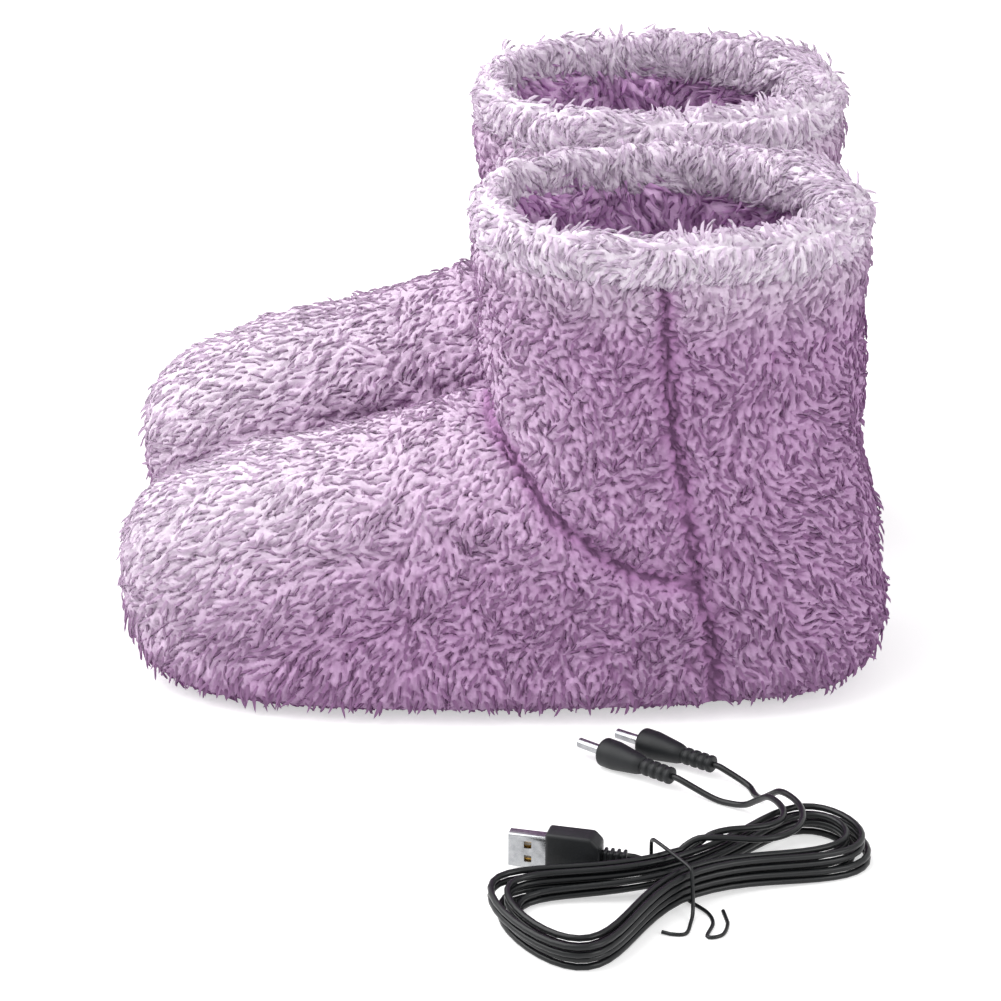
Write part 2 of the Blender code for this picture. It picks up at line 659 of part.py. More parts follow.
def boot(side_name, side, stuff):
    """One boot about its own centre plane, standing on the floor with its length centred."""
    lean = -side * toe_lean
    last = Last(lean)
    middle = 0.5 * (last.front[:, 0].min() + last.back[:, 0].max())
    parent = anchor(f"{side_name}_boot", (-middle, 0.5 * side * boot_spacing, 0.0))
    outer_reach = foot_half_width + cut_overrun

    hollow = as_cutter(mesh_object(f"{side_name}.hollow", last.solid(panel_thickness, cut_overrun), None, parent))
    sole_hole = as_cutter(
        slab(f"{side_name}.sole_hole", sole_outline(lean, sole_hole_grow), -cut_overrun, insole_top, None, parent)
    )
    box_size = (2 * foot_length, 4 * foot_half_width, 2 * cut_overrun + rim_height)
    rim_space = as_cutter(
        mesh_object(
            f"{side_name}.rim_space", block(box_size, (0.0, 0.0, rim_start + 0.5 * box_size[2])), None, parent, False
        )
    )
    pocket, socket_origin = socket_parts(side_name, last, stuff, parent)

    names = {"vamp": "vamp_panel", "shaft_front": "shaft_front_panel", "heel": "heel_panel"}
    for region, outline in seam_regions().items():
        panel = mesh_object(f"{side_name}_{names[region]}", last.solid(), stuff["plush"], parent)
        area = as_cutter(
            mesh_object(
                f"{side_name}.{region}_area", prism(outline, -outer_reach, outer_reach, sideways), None, parent, False
            )
        )
        combine(panel, hollow)
        combine(panel, area, "INTERSECT")
        if region != "shaft_front":
            combine(panel, sole_hole)
        if region != "vamp":
            combine(panel, rim_space)
        if region == "heel":
            combine(panel, pocket)

    rim_roll(f"{side_name}_rim_roll", last, stuff["rim"], parent)

    lining_depth = panel_thickness + lining_gap
    lining = mesh_object(f"{side_name}_lining", last.solid(lining_depth), stuff["lining"], parent)
    foot_room = as_cutter(
        mesh_object(f"{side_name}.foot_room", last.solid(lining_depth + lining_thickness, cut_overrun), None, parent)
    )
    insole_space = as_cutter(
        slab(f"{side_name}.insole_space", sole_outline(lean, fit_gap), -cut_overrun, insole_top, None, parent)
    )
    lead_path = pad_lead_path(socket_origin)
    groove = tube_cutter(f"{side_name}.lead_groove", lead_path, pad_lead_diameter + 2 * pad_lead_groove, parent)
    for cutter in (foot_room, insole_space, rim_space, pocket, groove):
        combine(lining, cutter)

    outsole(f"{side_name}_outsole", lean, stuff["outsole"], parent)
    slab(f"{side_name}_midsole", sole_outline(lean), midsole_start, panel_thickness, stuff["foam"], parent)
    pad_outline = sole_outline(lean, -pad_inset)
    slab(f"{side_name}_heating_pad", pad_outline, pad_start, pad_start + pad_thickness, stuff["felt"], parent)
    path = heating_path(lean)
    tube(f"{side_name}_heating_wire", path, wire_diameter, stuff["wire"], parent, 0)
    cutout_size = (cutout_length, cutout_width, cutout_height)
    cutout_low = pad_start + pad_thickness + fit_gap
    cutout_centre = (cutout_front() + 0.5 * cutout_length, 0.0, cutout_low + 0.5 * cutout_height)
    mesh_object(
        f"{side_name}_thermal_cutout", block(cutout_size, cutout_centre), stuff["white_plastic"], parent, False
    )
    tube(f"{side_name}_pad_lead", lead_path, pad_lead_diameter, stuff["pvc"], parent, 1)
    insole(f"{side_name}_insole", lean, stuff["lining"], parent)


def rounded_rectangle(width, height, radius, steps=2):
    """Points (a, b) round a rectangle with rounded corners, about its centre."""
    radius = min(radius, 0.5 * min(width, height))
    points = []
    for corner, (sx, sy) in enumerate(((1, 1), (-1, 1), (-1, -1), (1, -1))):
        for step in range(steps + 1):
            angle = 0.5 * math.pi * (corner + step / steps)
            a = sx * (0.5 * width - radius) + radius * math.cos(angle)
            b = sy * (0.5 * height - radius) + radius * math.sin(angle)
            points.append((a, b))
    return points


class UsbPlug:
    """Axes of the USB plug: along from its tip to its lead, over across its broad side, out along its thickness."""

    def __init__(self):
        self.along = Vector((math.cos(usb_turn), math.sin(usb_turn), 0.0))
        self.over = Vector((0.0, 0.0, 1.0))
        self.out = self.along.cross(self.over)

    def at(self, along, over, out):
        return usb_tip + along * self.along + over * self.over + out * self.out

    def ring(self, along, section):
        return [self.at(along, a, b) for a, b in section]

    def bar(self, start, end, width, height, over=0.0, out=0.0):
        section = [(over + a * width, out + b * height) for a, b in ((0.5, 0.5), (-0.5, 0.5), (-0.5, -0.5), (0.5, -0.5))]
        return ring_loft([self.ring(start, section), self.ring(end, section)])


def usb_plug(stuff, parent):
    """Shell with its four latch windows, tongue with four contacts, and the overmould with its ribbed relief."""
    plug = UsbPlug()
    shell_end = usb_shell_length + usb_shell_seat
    outer = rounded_rectangle(usb_shell_width, usb_shell_height, usb_shell_wall * 2, 1)
    inner_width, inner_height = usb_shell_width - 2 * usb_shell_wall, usb_shell_height - 2 * usb_shell_wall
    inner = rounded_rectangle(inner_width, inner_height, usb_shell_wall, 1)
    bm = bmesh.new()
    skin_rings(
        bm,
        [plug.ring(0.0, outer), plug.ring(shell_end, outer), plug.ring(shell_end, inner), plug.ring(0.0, inner)],
        closed=True,
    )
    shell = mesh_object("usb_shell", bm, stuff["nickel"], parent, False)
    for row, over in (("upper", 0.5 * usb_window_gap), ("lower", -0.5 * usb_window_gap)):
        start = usb_window_setback - 0.5 * usb_window_side
        window = plug.bar(
            start, start + usb_window_side, usb_window_side, usb_shell_height + 2 * usb_shell_wall, over
        )
        combine(shell, as_cutter(mesh_object(f"usb.{row}_windows", window, None, parent, False)))

    seat = shell_end - fit_gap
    tongue_out = -usb_tongue_lift
    tongue = plug.bar(usb_tongue_setback, seat, usb_tongue_width, usb_tongue_height, 0.0, tongue_out)
    mesh_object("usb_tongue", tongue, stuff["white_plastic"], parent, False)
    contact_out = tongue_out + 0.5 * usb_tongue_height + fit_gap + 0.5 * usb_contact_height
    for i in range(usb_contact_count):
        over = (i - 0.5 * (usb_contact_count - 1)) * usb_contact_pitch
        start = usb_tongue_setback + usb_contact_setback
        contact = plug.bar(
            start, start + usb_contact_length, usb_contact_width, usb_contact_height, over, contact_out
        )
        mesh_object(f"usb_contact_{i + 1}", contact, stuff["gold"], parent, False)

    grip_start, grip_end = usb_shell_length, usb_shell_length + usb_grip_length
    full = rounded_rectangle(usb_grip_width, usb_grip_height, usb_grip_round)
    shoulder = rounded_rectangle(usb_grip_width - 2 * usb_grip_round, usb_grip_height - usb_grip_round, usb_grip_round)
    waist = rounded_rectangle(usb_grip_width - usb_grip_chamfer, usb_grip_height - usb_grip_round, usb_grip_round)
    sections = [
        (grip_start, shoulder), (grip_start + usb_grip_round, full), (grip_end - usb_grip_chamfer, full),
        (grip_end, waist),
    ]
    rib = rounded_rectangle(usb_relief_width, usb_relief_height, usb_grip_round)
    groove_width, groove_height = usb_relief_width - 2 * usb_relief_groove, usb_relief_height - 2 * usb_relief_groove
    groove = rounded_rectangle(groove_width, groove_height, usb_grip_round)
    for i in range(relief_rib_count):
        start = grip_end + i * relief_rib_pitch
        low_share, high_share = 0.3, 0.9
        sections += [(start + fit_gap, groove), (start + low_share * relief_rib_pitch, groove)]
        sections += [(start + low_share * relief_rib_pitch + fit_gap, rib), (start + high_share * relief_rib_pitch, rib)]
    grip = mesh_object(
        "usb_grip", ring_loft([plug.ring(along, section) for along, section in sections]), stuff["pvc"], parent
    )
    seat_size = (usb_shell_width + 2 * fit_gap, usb_shell_height + 2 * fit_gap)
    seat_bar = plug.bar(grip_start - cut_overrun, shell_end + fit_gap, *seat_size)
    combine(grip, as_cutter(mesh_object("usb.grip_seat", seat_bar, None, parent, False)))
    relief_end = sections[-1][0]
    return plug, relief_end


def barrel_plug(name, stuff, parent):
    """A straight barrel plug: plated barrel, its insulator, and the moulded grip with a ribbed relief."""
    turn = plug_turns[name]
    axis = Vector((math.cos(turn), math.sin(turn), 0.0))
    tip = plug_tips[name] + Vector((0.0, 0.0, plug_collar_radius))
    barrel_length, body_length, seat = plug_lengths["barrel"], plug_lengths["body"], plug_lengths["seat"]
    bore_wall = barrel_bore_radius + barrel_wall
    insulator_end = barrel_length + seat - fit_gap
    barrel = turned(
        (
            (0.0, bore_wall + fit_gap), (0.0, barrel_radius), (barrel_length + seat, barrel_radius),
            (barrel_length + seat, bore_wall + fit_gap), (0.0, bore_wall + fit_gap),
        ),
        plug_sides, tip, axis,
    )
    mesh_object(f"{name}_barrel", barrel, stuff["nickel"], parent)
    bore_depth = barrel_length
    insulator = turned(
        (
            (bore_depth, 0.0), (bore_depth, barrel_bore_radius), (fit_gap, barrel_bore_radius), (fit_gap, bore_wall),
            (insulator_end, bore_wall), (insulator_end, 0.0),
        ),
        plug_sides, tip, axis,
    )
    mesh_object(f"{name}_insulator", insulator, stuff["black_plastic"], parent)
    body_end = barrel_length + body_length
    collar_share, taper_share, round_size = 0.32, 0.92, usb_grip_round
    seat_radius = barrel_radius + fit_gap
    seat_end = barrel_length + seat + fit_gap
    profile = [
        (seat_end, 0.0), (seat_end, seat_radius), (barrel_length, seat_radius),
        (barrel_length, plug_collar_radius - round_size), (barrel_length + round_size, plug_collar_radius),
        (barrel_length + collar_share * body_length, plug_collar_radius),
        (barrel_length + taper_share * body_length, plug_waist_radius), (body_end, plug_relief_radius),
    ]
    for i in range(plug_rib_count):
        start = body_end + i * plug_rib_pitch
        low_share, high_share = 0.35, 0.95
        groove = plug_relief_radius - plug_relief_groove
        profile += [(start + fit_gap, groove), (start + low_share * plug_rib_pitch, groove)]
        profile += [
            (start + low_share * plug_rib_pitch + fit_gap, plug_relief_radius),
            (start + high_share * plug_rib_pitch, plug_relief_radius),
        ]
    relief_end = profile[-1][0]
    profile.append((relief_end, 0.0))
    mesh_object(f"{name}_grip", turned(profile, plug_sides, tip, axis), stuff["pvc"], parent)
    return tip + axis * (relief_end + fit_gap), axis


class Hank:
    """The wound leads: along the hank is s, across it is t, and turns count from the waist's back side."""

    def __init__(self):
        self.along = Vector((math.cos(hank_turn), math.sin(hank_turn), 0.0))
        self.across = Vector((-math.sin(hank_turn), math.cos(hank_turn), 0.0))

    def at(self, s, t, z):
        return hank_centre + s * self.along + t * self.across + Vector((0.0, 0.0, z))

    def point(self, turns, lead):
        """A place on a lead's winding: lead 0 lies under lead 1."""
        step = abs(hank_turn_count - turns)
        angle = 2 * math.pi * turns
        half_length = hank_inner_half_length + step * hank_length_step
        waist = hank_inner_waist + step * hank_waist_step
        inner_flare = hank_inner_right_flare if math.sin(angle) > 0 else hank_inner_left_flare
        flare = inner_flare + step * hank_flare_step
        s = half_length * math.sin(angle)
        t = math.cos(angle) * (waist + (flare - waist) * math.sin(angle) ** 2)
        climb_turns = 0.25
        climb = min(max((turns - hank_turn_count + climb_turns) / (2 * climb_turns), 0.0), 1.0)
        layer = lead + 2.0 * climb * climb * (3.0 - 2.0 * climb)
        z = 0.5 * lead_diameter + layer * lead_pitch + waist_lift * math.cos(angle) ** 8
        return self.at(s, t, z)

    def route(self, lead):
        total = 2 * hank_turn_count
        count = round((total - hank_start_turns) * hank_turn_points)
        step = (total - hank_start_turns) / count
        return [self.point(hank_start_turns + i * step, lead) for i in range(count + 1)]


def least_gap(points, diameter):
    """Least free space between stretches of one tube that lie more than four diameters apart along it."""
    fine = np.array(spline_samples([tuple(p) for p in points], 4 * len(points)))
    steps = np.linalg.norm(np.diff(fine, axis=0), axis=1)
    along = np.concatenate(([0.0], np.cumsum(steps)))
    apart = np.abs(along[:, None] - along[None, :]) > 4 * diameter
    space = np.linalg.norm(fine[:, None, :] - fine[None, :, :], axis=2)
    return float(space[apart].min()) - diameter


def smooth_route(points, step):
    """Evenly spaced points on a smooth curve through a route's own points, whose two ends stay straight."""
    between = 40
    fine = spline_samples([tuple(p) for p in points], between * (len(points) - 1) + 1)[between:-between]
    lengths = np.concatenate(([0.0], np.cumsum(np.linalg.norm(np.diff(fine, axis=0), axis=1))))
    count = max(int(round(lengths[-1] / step)), 2)
    marks = np.linspace(0.0, lengths[-1], count + 1)
    middle = [Vector([np.interp(mark, lengths, fine[:, k]) for k in range(3)]) for mark in marks]
    return [points[0]] + middle + [points[-1]]


def wire_tie(hank, finish, parent):
    """A soft wire wrapped once round the waist and the feeds, its ends curled on the floor in front."""
    margin = 0.5 * lead_diameter + tie_clearance + 0.5 * tie_diameter
    front = hank_inner_waist + (hank_turn_count - 0.5) * hank_waist_step + margin
    back = feed_via[1] + margin
    low = 0.5 * tie_diameter + tie_floor_gap
    high = waist_lift + 0.5 * lead_diameter + 3 * lead_pitch + margin
    centre, half_width = 0.5 * (back - front), 0.5 * (back + front)
    middle, half_height = 0.5 * (low + high), 0.5 * (high - low)
    square_share = 0.3
    under_share = 0.85
    points = []
    for i in range(1, int(under_share * tie_points) + 1):
        turn = 2 * math.pi * i / tie_points
        c, s = -math.cos(turn), math.sin(turn)
        t = centre + math.copysign(abs(c) ** square_share, c) * half_width
        z = middle + math.copysign(abs(s) ** square_share, s) * half_height
        points.append(hank.at(tie_half_pitch * (2 * i / tie_points - 1) - tie_setback, t, z))
    points = [hank.at(*point) for point in tie_start_route] + points + [hank.at(*point) for point in tie_end_route]
    tube("wire_tie", smooth_route(points, tie_step), tie_diameter, finish, parent, 1)


def power_lead(stuff):
    """USB plug, two leads wound in a tied hank, and their two barrel plugs."""
    parent = anchor("power_lead")
    plug, relief_end = usb_plug(stuff, parent)
    hank = Hank()
    pvc = stuff["pvc"]
    for lead, name in enumerate(("plug_1", "plug_2")):
        label = f"lead_{lead + 1}"
        route = hank.route(lead)
        print(f"{label} least gap to itself {1000 * least_gap(route, lead_diameter):.2f} mm")
        tube(f"{label}_hank", route, lead_diameter, pvc, parent, hank_bevel_resolution)

        over = (lead - 0.5) * feed_pitch
        start = plug.at(relief_end + fit_gap, over, 0.0)
        heading = (route[1] - route[0]).normalized()
        join = route[0] - fit_gap * heading
        via = hank.at(*feed_via, 0.5 * lead_diameter + lead * feed_pitch + waist_lift)
        feed = [start, start + lead_diameter * plug.along, via, join - lead_diameter * heading, join]
        tube(f"{label}_feed", smooth_route(feed, route_step), lead_diameter, pvc, parent, lead_bevel_resolution)

        socket, axis = barrel_plug(name, stuff, parent)
        heading = (route[-1] - route[-2]).normalized()
        begin = route[-1] + fit_gap * heading
        tail = [begin, begin + lead_diameter * heading]
        tail += [hank.at(*point) for point in tail_routes[name]]
        tail += [socket + lead_diameter * axis, socket]
        tube(f"{label}_tail", smooth_route(tail, route_step), lead_diameter, pvc, parent, lead_bevel_resolution)
    wire_tie(hank, pvc, parent)


def main():
    fresh_scene()
    stuff = make_materials()
    for side_name, side in (("left", -1), ("right", 1)):
        boot(side_name, side, stuff)
    power_lead(stuff)


main()
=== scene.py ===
"""Dresses the pair of heated plush boots and their USB lead: pile, seams, plugs, wound leads and finishes.

Metres, +Z up, in the frame of the solid model. The cloth of a boot follows the same last as its solids. It is
raised into packed locks of pile, and loose curls are scattered over them.
"""

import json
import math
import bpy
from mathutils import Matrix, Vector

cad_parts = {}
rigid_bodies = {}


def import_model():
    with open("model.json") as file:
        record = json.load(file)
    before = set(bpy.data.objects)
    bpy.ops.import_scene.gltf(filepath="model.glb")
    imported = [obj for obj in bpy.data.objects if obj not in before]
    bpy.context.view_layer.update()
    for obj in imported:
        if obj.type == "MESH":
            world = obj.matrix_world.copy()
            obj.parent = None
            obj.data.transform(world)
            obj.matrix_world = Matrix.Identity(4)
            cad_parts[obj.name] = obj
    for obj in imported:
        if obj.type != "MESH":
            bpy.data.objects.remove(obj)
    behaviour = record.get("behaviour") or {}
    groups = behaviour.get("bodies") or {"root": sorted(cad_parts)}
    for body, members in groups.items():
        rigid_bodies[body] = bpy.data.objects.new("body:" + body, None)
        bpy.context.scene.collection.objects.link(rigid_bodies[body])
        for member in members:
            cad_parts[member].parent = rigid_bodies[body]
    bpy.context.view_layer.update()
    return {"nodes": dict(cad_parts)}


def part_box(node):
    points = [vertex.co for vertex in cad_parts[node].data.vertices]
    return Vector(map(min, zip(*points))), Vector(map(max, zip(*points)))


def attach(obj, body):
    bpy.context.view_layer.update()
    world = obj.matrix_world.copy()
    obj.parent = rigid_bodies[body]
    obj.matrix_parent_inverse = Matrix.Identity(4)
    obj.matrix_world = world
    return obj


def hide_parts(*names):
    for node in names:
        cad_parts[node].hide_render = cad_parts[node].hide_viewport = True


bl_info = {
    "name": "Plush foot warmers",
    "version": (1, 0, 0),
    "blender": (4, 5, 0),
    "location": "3D View > Sidebar > Foot warmers",
    "description": "Pile, seams, plugs, wound leads and finishes of a pair of heated plush boots",
    "category": "Object",
}

import bmesh
import bpy
import numpy as np
from bpy.props import FloatProperty, FloatVectorProperty, IntProperty, PointerProperty
from mathutils import Matrix, Vector, kdtree, noise

for leftover in list(bpy.data.objects):
    bpy.data.objects.remove(leftover, do_unlink=True)
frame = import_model()

merge_distance = 0.00001

# The last that the boots are sewn over
foot_length = 0.274
foot_half_width = 0.053
instep_height = 0.105
shaft_rise = 0.075
toe_lean = 0.006
front_roundness = 2.2
boot_spacing = 0.126
boot_shift = 0.00034
boot_height = instep_height + shaft_rise
cloth_rows = 500
cloth_columns = 430

# Each rib of the last, toe to rim. Front and back ends: place along the foot, height as a share of the
# instep's and of the shaft's rise. Then half-width, height of the widest place, and squareness of corners.
rib_shares = (
    (0.000, 0.352, 0.0, 0.000, 0.352, 0.0, 0.000, 0.50, 2.2),
    (0.007, 0.467, 0.0, 0.007, 0.229, 0.0, 0.245, 0.45, 2.3),
    (0.033, 0.571, 0.0, 0.029, 0.105, 0.0, 0.453, 0.40, 2.8),
    (0.073, 0.648, 0.0, 0.066, 0.020, 0.0, 0.620, 0.36, 3.6),
    (0.135, 0.724, 0.0, 0.124, -0.02, 0.0, 0.774, 0.34, 4.8),
    (0.208, 0.781, 0.0, 0.201, -0.02, 0.0, 0.896, 0.32, 5.6),
    (0.288, 0.838, 0.0, 0.288, -0.02, 0.0, 0.962, 0.31, 6.0),
    (0.369, 0.895, 0.0, 0.383, -0.02, 0.0, 0.990, 0.31, 6.0),
    (0.438, 0.952, 0.0, 0.500, -0.02, 0.0, 1.000, 0.32, 6.0),
    (0.471, 1.0, 0.000, 0.646, -0.02, 0.0, 1.000, 0.36, 5.6),
    (0.476, 1.0, 0.093, 0.810, -0.02, 0.0, 0.990, 0.42, 4.4),
    (0.471, 1.0, 0.213, 0.931, 0.00, 0.00, 0.965, 0.46, 3.2),
    (0.469, 1.0, 0.333, 0.996, 0.19, 0.00, 0.955, 0.50, 2.6),
    (0.467, 1.0, 0.467, 0.989, 0.47, 0.00, 0.965, 0.50, 2.4),
    (0.465, 1.0, 0.587, 0.967, 0.78, 0.00, 0.985, 0.50, 2.3),
    (0.4635, 1.0, 0.707, 0.960, 1.0, 0.093, 1.000, 0.50, 2.3),
    (0.463, 1.0, 0.84, 0.960, 1.0, 0.533, 1.020, 0.50, 2.3),
    (0.463, 1.0, 1.0, 0.9635, 1.0, 1.0, 1.030, 0.50, 2.3),
)

# Seams in side view: share of the foot's length, share of the instep's height
side_seam_shares = (
    (0.775, -0.20), (0.763, 0.30), (0.745, 0.50), (0.733, 0.72), (0.711, 1.02), (0.702, 1.30), (0.690, 2.0),
)
vamp_seam_shares = (
    (0.745, 0.50), (0.715, 0.505), (0.672, 0.525), (0.631, 0.58), (0.591, 0.66),
    (0.558, 0.735), (0.529, 0.83), (0.500, 0.915), (0.478, 0.985), (0.39, 1.20),
)
vamp_split_share = 0.31

# Soft creases where the foot bends, in side view: along the foot, height
crease_lines = (
    ((-0.036, 0.072), (-0.024, 0.067), (-0.006, 0.062)),
    ((-0.062, 0.056), (-0.045, 0.060), (-0.026, 0.059)),
)

# Layers of the upper and of the sole
panel_thickness = 0.009
lining_thickness = 0.007
rim_height = 0.020
rim_wall = 0.0165
rim_slack = 0.0050
sole_shares = (
    (0.105, 0.0), (0.113, 0.22), (0.135, 0.42), (0.170, 0.55), (0.220, 0.64), (0.290, 0.70), (0.370, 0.72),
    (0.460, 0.70), (0.560, 0.67), (0.660, 0.66), (0.750, 0.65), (0.820, 0.61), (0.870, 0.52), (0.904, 0.31),
    (0.915, 0.0),
)
sole_points = 96
dot_height = 0.0008
dot_radius = 0.0021
dot_pitch = 0.0078
dot_sink = 0.0010
grip_cloth_thickness = 0.0032
insole_thickness = 0.006
insole_margin = 0.002
insole_roll = 0.010

# Relief of the outer cloth: broad lumps, then the width and depth of its grooves and of the swell beside one
lump_size = 0.026
lump_height = 0.0024
side_groove_width = 0.0042
side_groove_depth = 0.0032
vamp_groove_width = 0.0046
vamp_groove_depth = 0.0034
vamp_swell_offset = 0.012
vamp_swell_width = 0.006
vamp_swell_height = 0.0012
crease_width = 0.0040
crease_depth = 0.0026
cuff_swell = 0.0008
cuff_tuck = 0.0050
skirt_spread = 0.0030
lock_rise = 0.0034
rim_lock_rise = 0.0042
lining_lock_rise = 0.0050
parting_width = 0.0038

# Heights over the floor between which something starts and is full
ground_band = (0.004, 0.020)
lock_band = (0.002, 0.008)
skirt_band = (0.024, 0.008)
low_band = (0.030, 0.006)
shaft_band = (0.085, 0.125)
heel_band = (0.175, 0.10)
cuff_band = (0.145, 0.157)
tuck_band = (0.158, 0.168)
# Painted highlight on the shaft's top, below the rim:
highlight_band = (0.135, 0.166)
lining_band = (0.022, 0.030)
deep_band = (0.085, 0.050)
ridge_band = (0.08, 0.13)

# The socket's hollow in the heel
socket_clear_radius = 0.0080
socket_hollow_radius = 0.0085
socket_hollow_depth = 0.003

# A curl is modelled a unit long and this wide, then scaled. Its colour counts as full at full_height over
# its root and below it is darkened as painted shade; soft_share of its shading is the cloth's.
# No curl comes nearer to the floor than the gap.
curl_unit_width = 0.27
full_height = 0.0035
soft_share = 0.82
curl_floor_gap = 0.0004

# USB plug, which lies on its narrow edge
usb_tip = Vector((0.0030, -0.2170, 0.0080))
usb_turn = math.radians(-14.0)
usb_shell_length = 0.0125
usb_shell_seat = 0.004
usb_shell_width = 0.0120
usb_shell_height = 0.0045
usb_shell_wall = 0.0003
usb_window_side = 0.0024
usb_window_gap = 0.0050
usb_window_setback = 0.0065
usb_grip_length = 0.0180
usb_grip_width = 0.0160
usb_grip_height = 0.0080
usb_grip_chamfer = 0.0040
usb_relief_width = 0.0062
usb_relief_height = 0.0042
relief_rib_count = 4
relief_rib_pitch = 0.0021
usb_relief_end = usb_shell_length + usb_grip_length + (relief_rib_count - 0.1) * relief_rib_pitch

# Barrel plugs
barrel_length = 0.0100
plug_body_length = 0.0170
plug_seat = 0.004
barrel_radius = 0.00175
barrel_bore_radius = 0.00070
barrel_wall = 0.0004
plug_collar_radius = 0.0050
plug_waist_radius = 0.0036
plug_relief_radius = 0.0030
plug_relief_groove = 0.0007
plug_rib_count = 4
plug_rib_pitch = 0.0031
plug_tips = {"plug_1": Vector((0.0270, -0.1378, 0.0)), "plug_2": Vector((0.0400, -0.1310, 0.0))}
plug_turns = {"plug_1": math.radians(-39.0), "plug_2": math.radians(-36.0)}

# The two leads and the wire tie, on the routes of the solid model
fit_gap = 0.0003
lead_diameter = 0.0022
lead_pitch = 0.0027
hank_centre = Vector((0.0600, -0.2335, 0.0))
hank_turn = math.radians(31.6)
hank_turn_count = 2
hank_turn_points = 64
hank_inner_half_length = 0.0580
hank_length_step = 0.0042
hank_inner_waist = 0.0015
hank_waist_step = 0.0034
hank_inner_left_flare = 0.0460
hank_inner_right_flare = 0.0260
hank_flare_step = 0.0110
hank_start_turns = 0.035
waist_lift = 0.0020
route_step = 0.0018
tie_diameter = 0.0013
tie_clearance = 0.0019
tie_setback = 0.0040
tie_half_pitch = 0.0014
tie_points = 16
tie_step = 0.0010
tie_floor_gap = 0.00005
feed_via = (-0.0030, 0.0116)
feed_pitch = 0.0031
tail_routes = {
    "plug_1": (
        (0.0050, 0.0089, 0.0090), (0.0100, 0.0091, 0.0110), (0.0150, 0.0090, 0.0130),
        (0.0205, 0.0074, 0.0138), (0.0270, 0.0050, 0.0137), (0.0340, 0.0038, 0.0133),
        (0.0400, 0.0055, 0.0129), (0.0443, 0.0102, 0.0127), (0.0463, 0.0163, 0.0125),
        (0.0470, 0.0230, 0.0114), (0.0470, 0.0290, 0.0074), (0.0464, 0.0350, 0.0032),
        (0.0445, 0.0410, 0.0015), (0.0416, 0.0472, 0.0016),
    ),
    "plug_2": (
        (0.0046, 0.0081, 0.0124), (0.0085, 0.0070, 0.0142), (0.0130, 0.0042, 0.0146),
        (0.0180, 0.0010, 0.0144), (0.0240, -0.0026, 0.0140), (0.0310, -0.0045, 0.0135),
        (0.0390, -0.0030, 0.0130), (0.0460, 0.0020, 0.0127), (0.0505, 0.0090, 0.0126),
        (0.0523, 0.0165, 0.0125), (0.0526, 0.0240, 0.0114), (0.0529, 0.0300, 0.0074),
        (0.0537, 0.0360, 0.0032), (0.0552, 0.0420, 0.0015), (0.0566, 0.0485, 0.0019),
    ),
}
tie_start_route = (
    (-0.0215, -0.0175, 0.0007), (-0.0200, -0.0200, 0.0007), (-0.0158, -0.0224, 0.0007),
    (-0.0108, -0.0178, 0.0009), (-0.0074, -0.0140, 0.0030),
)
tie_end_route = (
    (-0.0024, -0.0150, 0.0007), (-0.0048, -0.0215, 0.0007), (-0.0110, -0.0275, 0.0007),
    (-0.0062, -0.0290, 0.0007), (-0.0005, -0.0235, 0.0007), (0.0025, -0.0165, 0.0007),
)


def linear(hex_colour):
    """An sRGB hex colour as linear red, green and blue."""
    shares = [int(hex_colour[i : i + 2], 16) / 255 for i in (0, 2, 4)]
    return tuple(c / 12.92 if c <= 0.04045 else ((c + 0.055) / 1.055) ** 2.4 for c in shares)


def colour_property(name, description, hex_colour):
    return FloatVectorProperty(
        name=name, description=description, subtype="COLOR", size=3, min=0.0, max=1.0,
        default=linear(hex_colour),
    )


def length_property(name, description, default):
    return FloatProperty(
        name=name, description=description, default=default, min=0.0, subtype="DISTANCE", unit="LENGTH"
    )


def power_property(name, description, default):
    return FloatProperty(name=name, description=description, default=default, min=0.0, unit="POWER")


class PileSizes(bpy.types.PropertyGroup):
    curl_length: length_property("Curl length", "Length of the curls over foot and shaft", 0.0058)
    rim_curl_length: length_property("Rim curl length", "Length of the curls on the rolled rim", 0.0058)
    lining_curl_length: length_property("Lining curl length", "Length of the curls inside the shaft", 0.0070)
    curl_width: length_property("Curl width", "Width of a curl at its widest place", 0.0015)
    curl_spacing: length_property("Curl spacing", "Least distance between two curls' roots", 0.00260)
    lock_length: length_property("Lock length", "Length of the packed locks that the curls lie over", 0.0048)
    lock_width: length_property("Lock width", "Width of the packed locks", 0.0030)
    lock_depth: length_property("Lock depth", "How deep the packed locks lie below the pile's face", 0.0022)
    seed: IntProperty(name="Seed", description="Changes how the curls fall", default=11, min=0)


class ClothColours(bpy.types.PropertyGroup):
    # Roots are painted shade in the pile's hollows; tips are partly the pile's own lighter ends, partly
    # painted highlight
    pile_root: colour_property("Pile root", "Deep in the pile, between the curls", "B586B5")
    pile_body: colour_property("Pile body", "Along the curls", "BD97BE")
    pile_tip: colour_property("Pile tip", "Frosted ends of the curls", "D4B5D6")
    rim_root: colour_property("Rim root", "Between the curls of the rim", "DCC8DE")
    rim_body: colour_property("Rim body", "Along the curls of the rim", "E4CEE6")
    rim_tip: colour_property("Rim tip", "Ends of the curls of the rim", "F4E6F5")
    # The painted highlight's colour, mixed in where the cloth faces the key light and over the rim
    pale: colour_property("Highlight", "Where the nap lies to the light, on the toe cap and the rim", "F7F0F8")
    lining_root: colour_property("Lining root", "Between the curls of the lining", "C596C8")
    lining_body: colour_property("Lining body", "Along the curls of the lining", "E0BAE2")
    lining_tip: colour_property("Lining tip", "Ends of the curls of the lining", "E6C9E8")
    sole: colour_property("Sole fabric", "Grip fabric under the boots", "57475C")
    lead: colour_property("Leads", "Soft plastic of leads and plug grips", "0E1012")


class StudioLight(bpy.types.PropertyGroup):
    key_power: power_property("Key light", "Large soft light at the upper left", 48.0)
    fill_power: power_property("Fill light", "Weak soft light at the right", 8.0)
    sky: FloatProperty(name="Sky", description="Even light from all round", default=0.70, min=0.0)


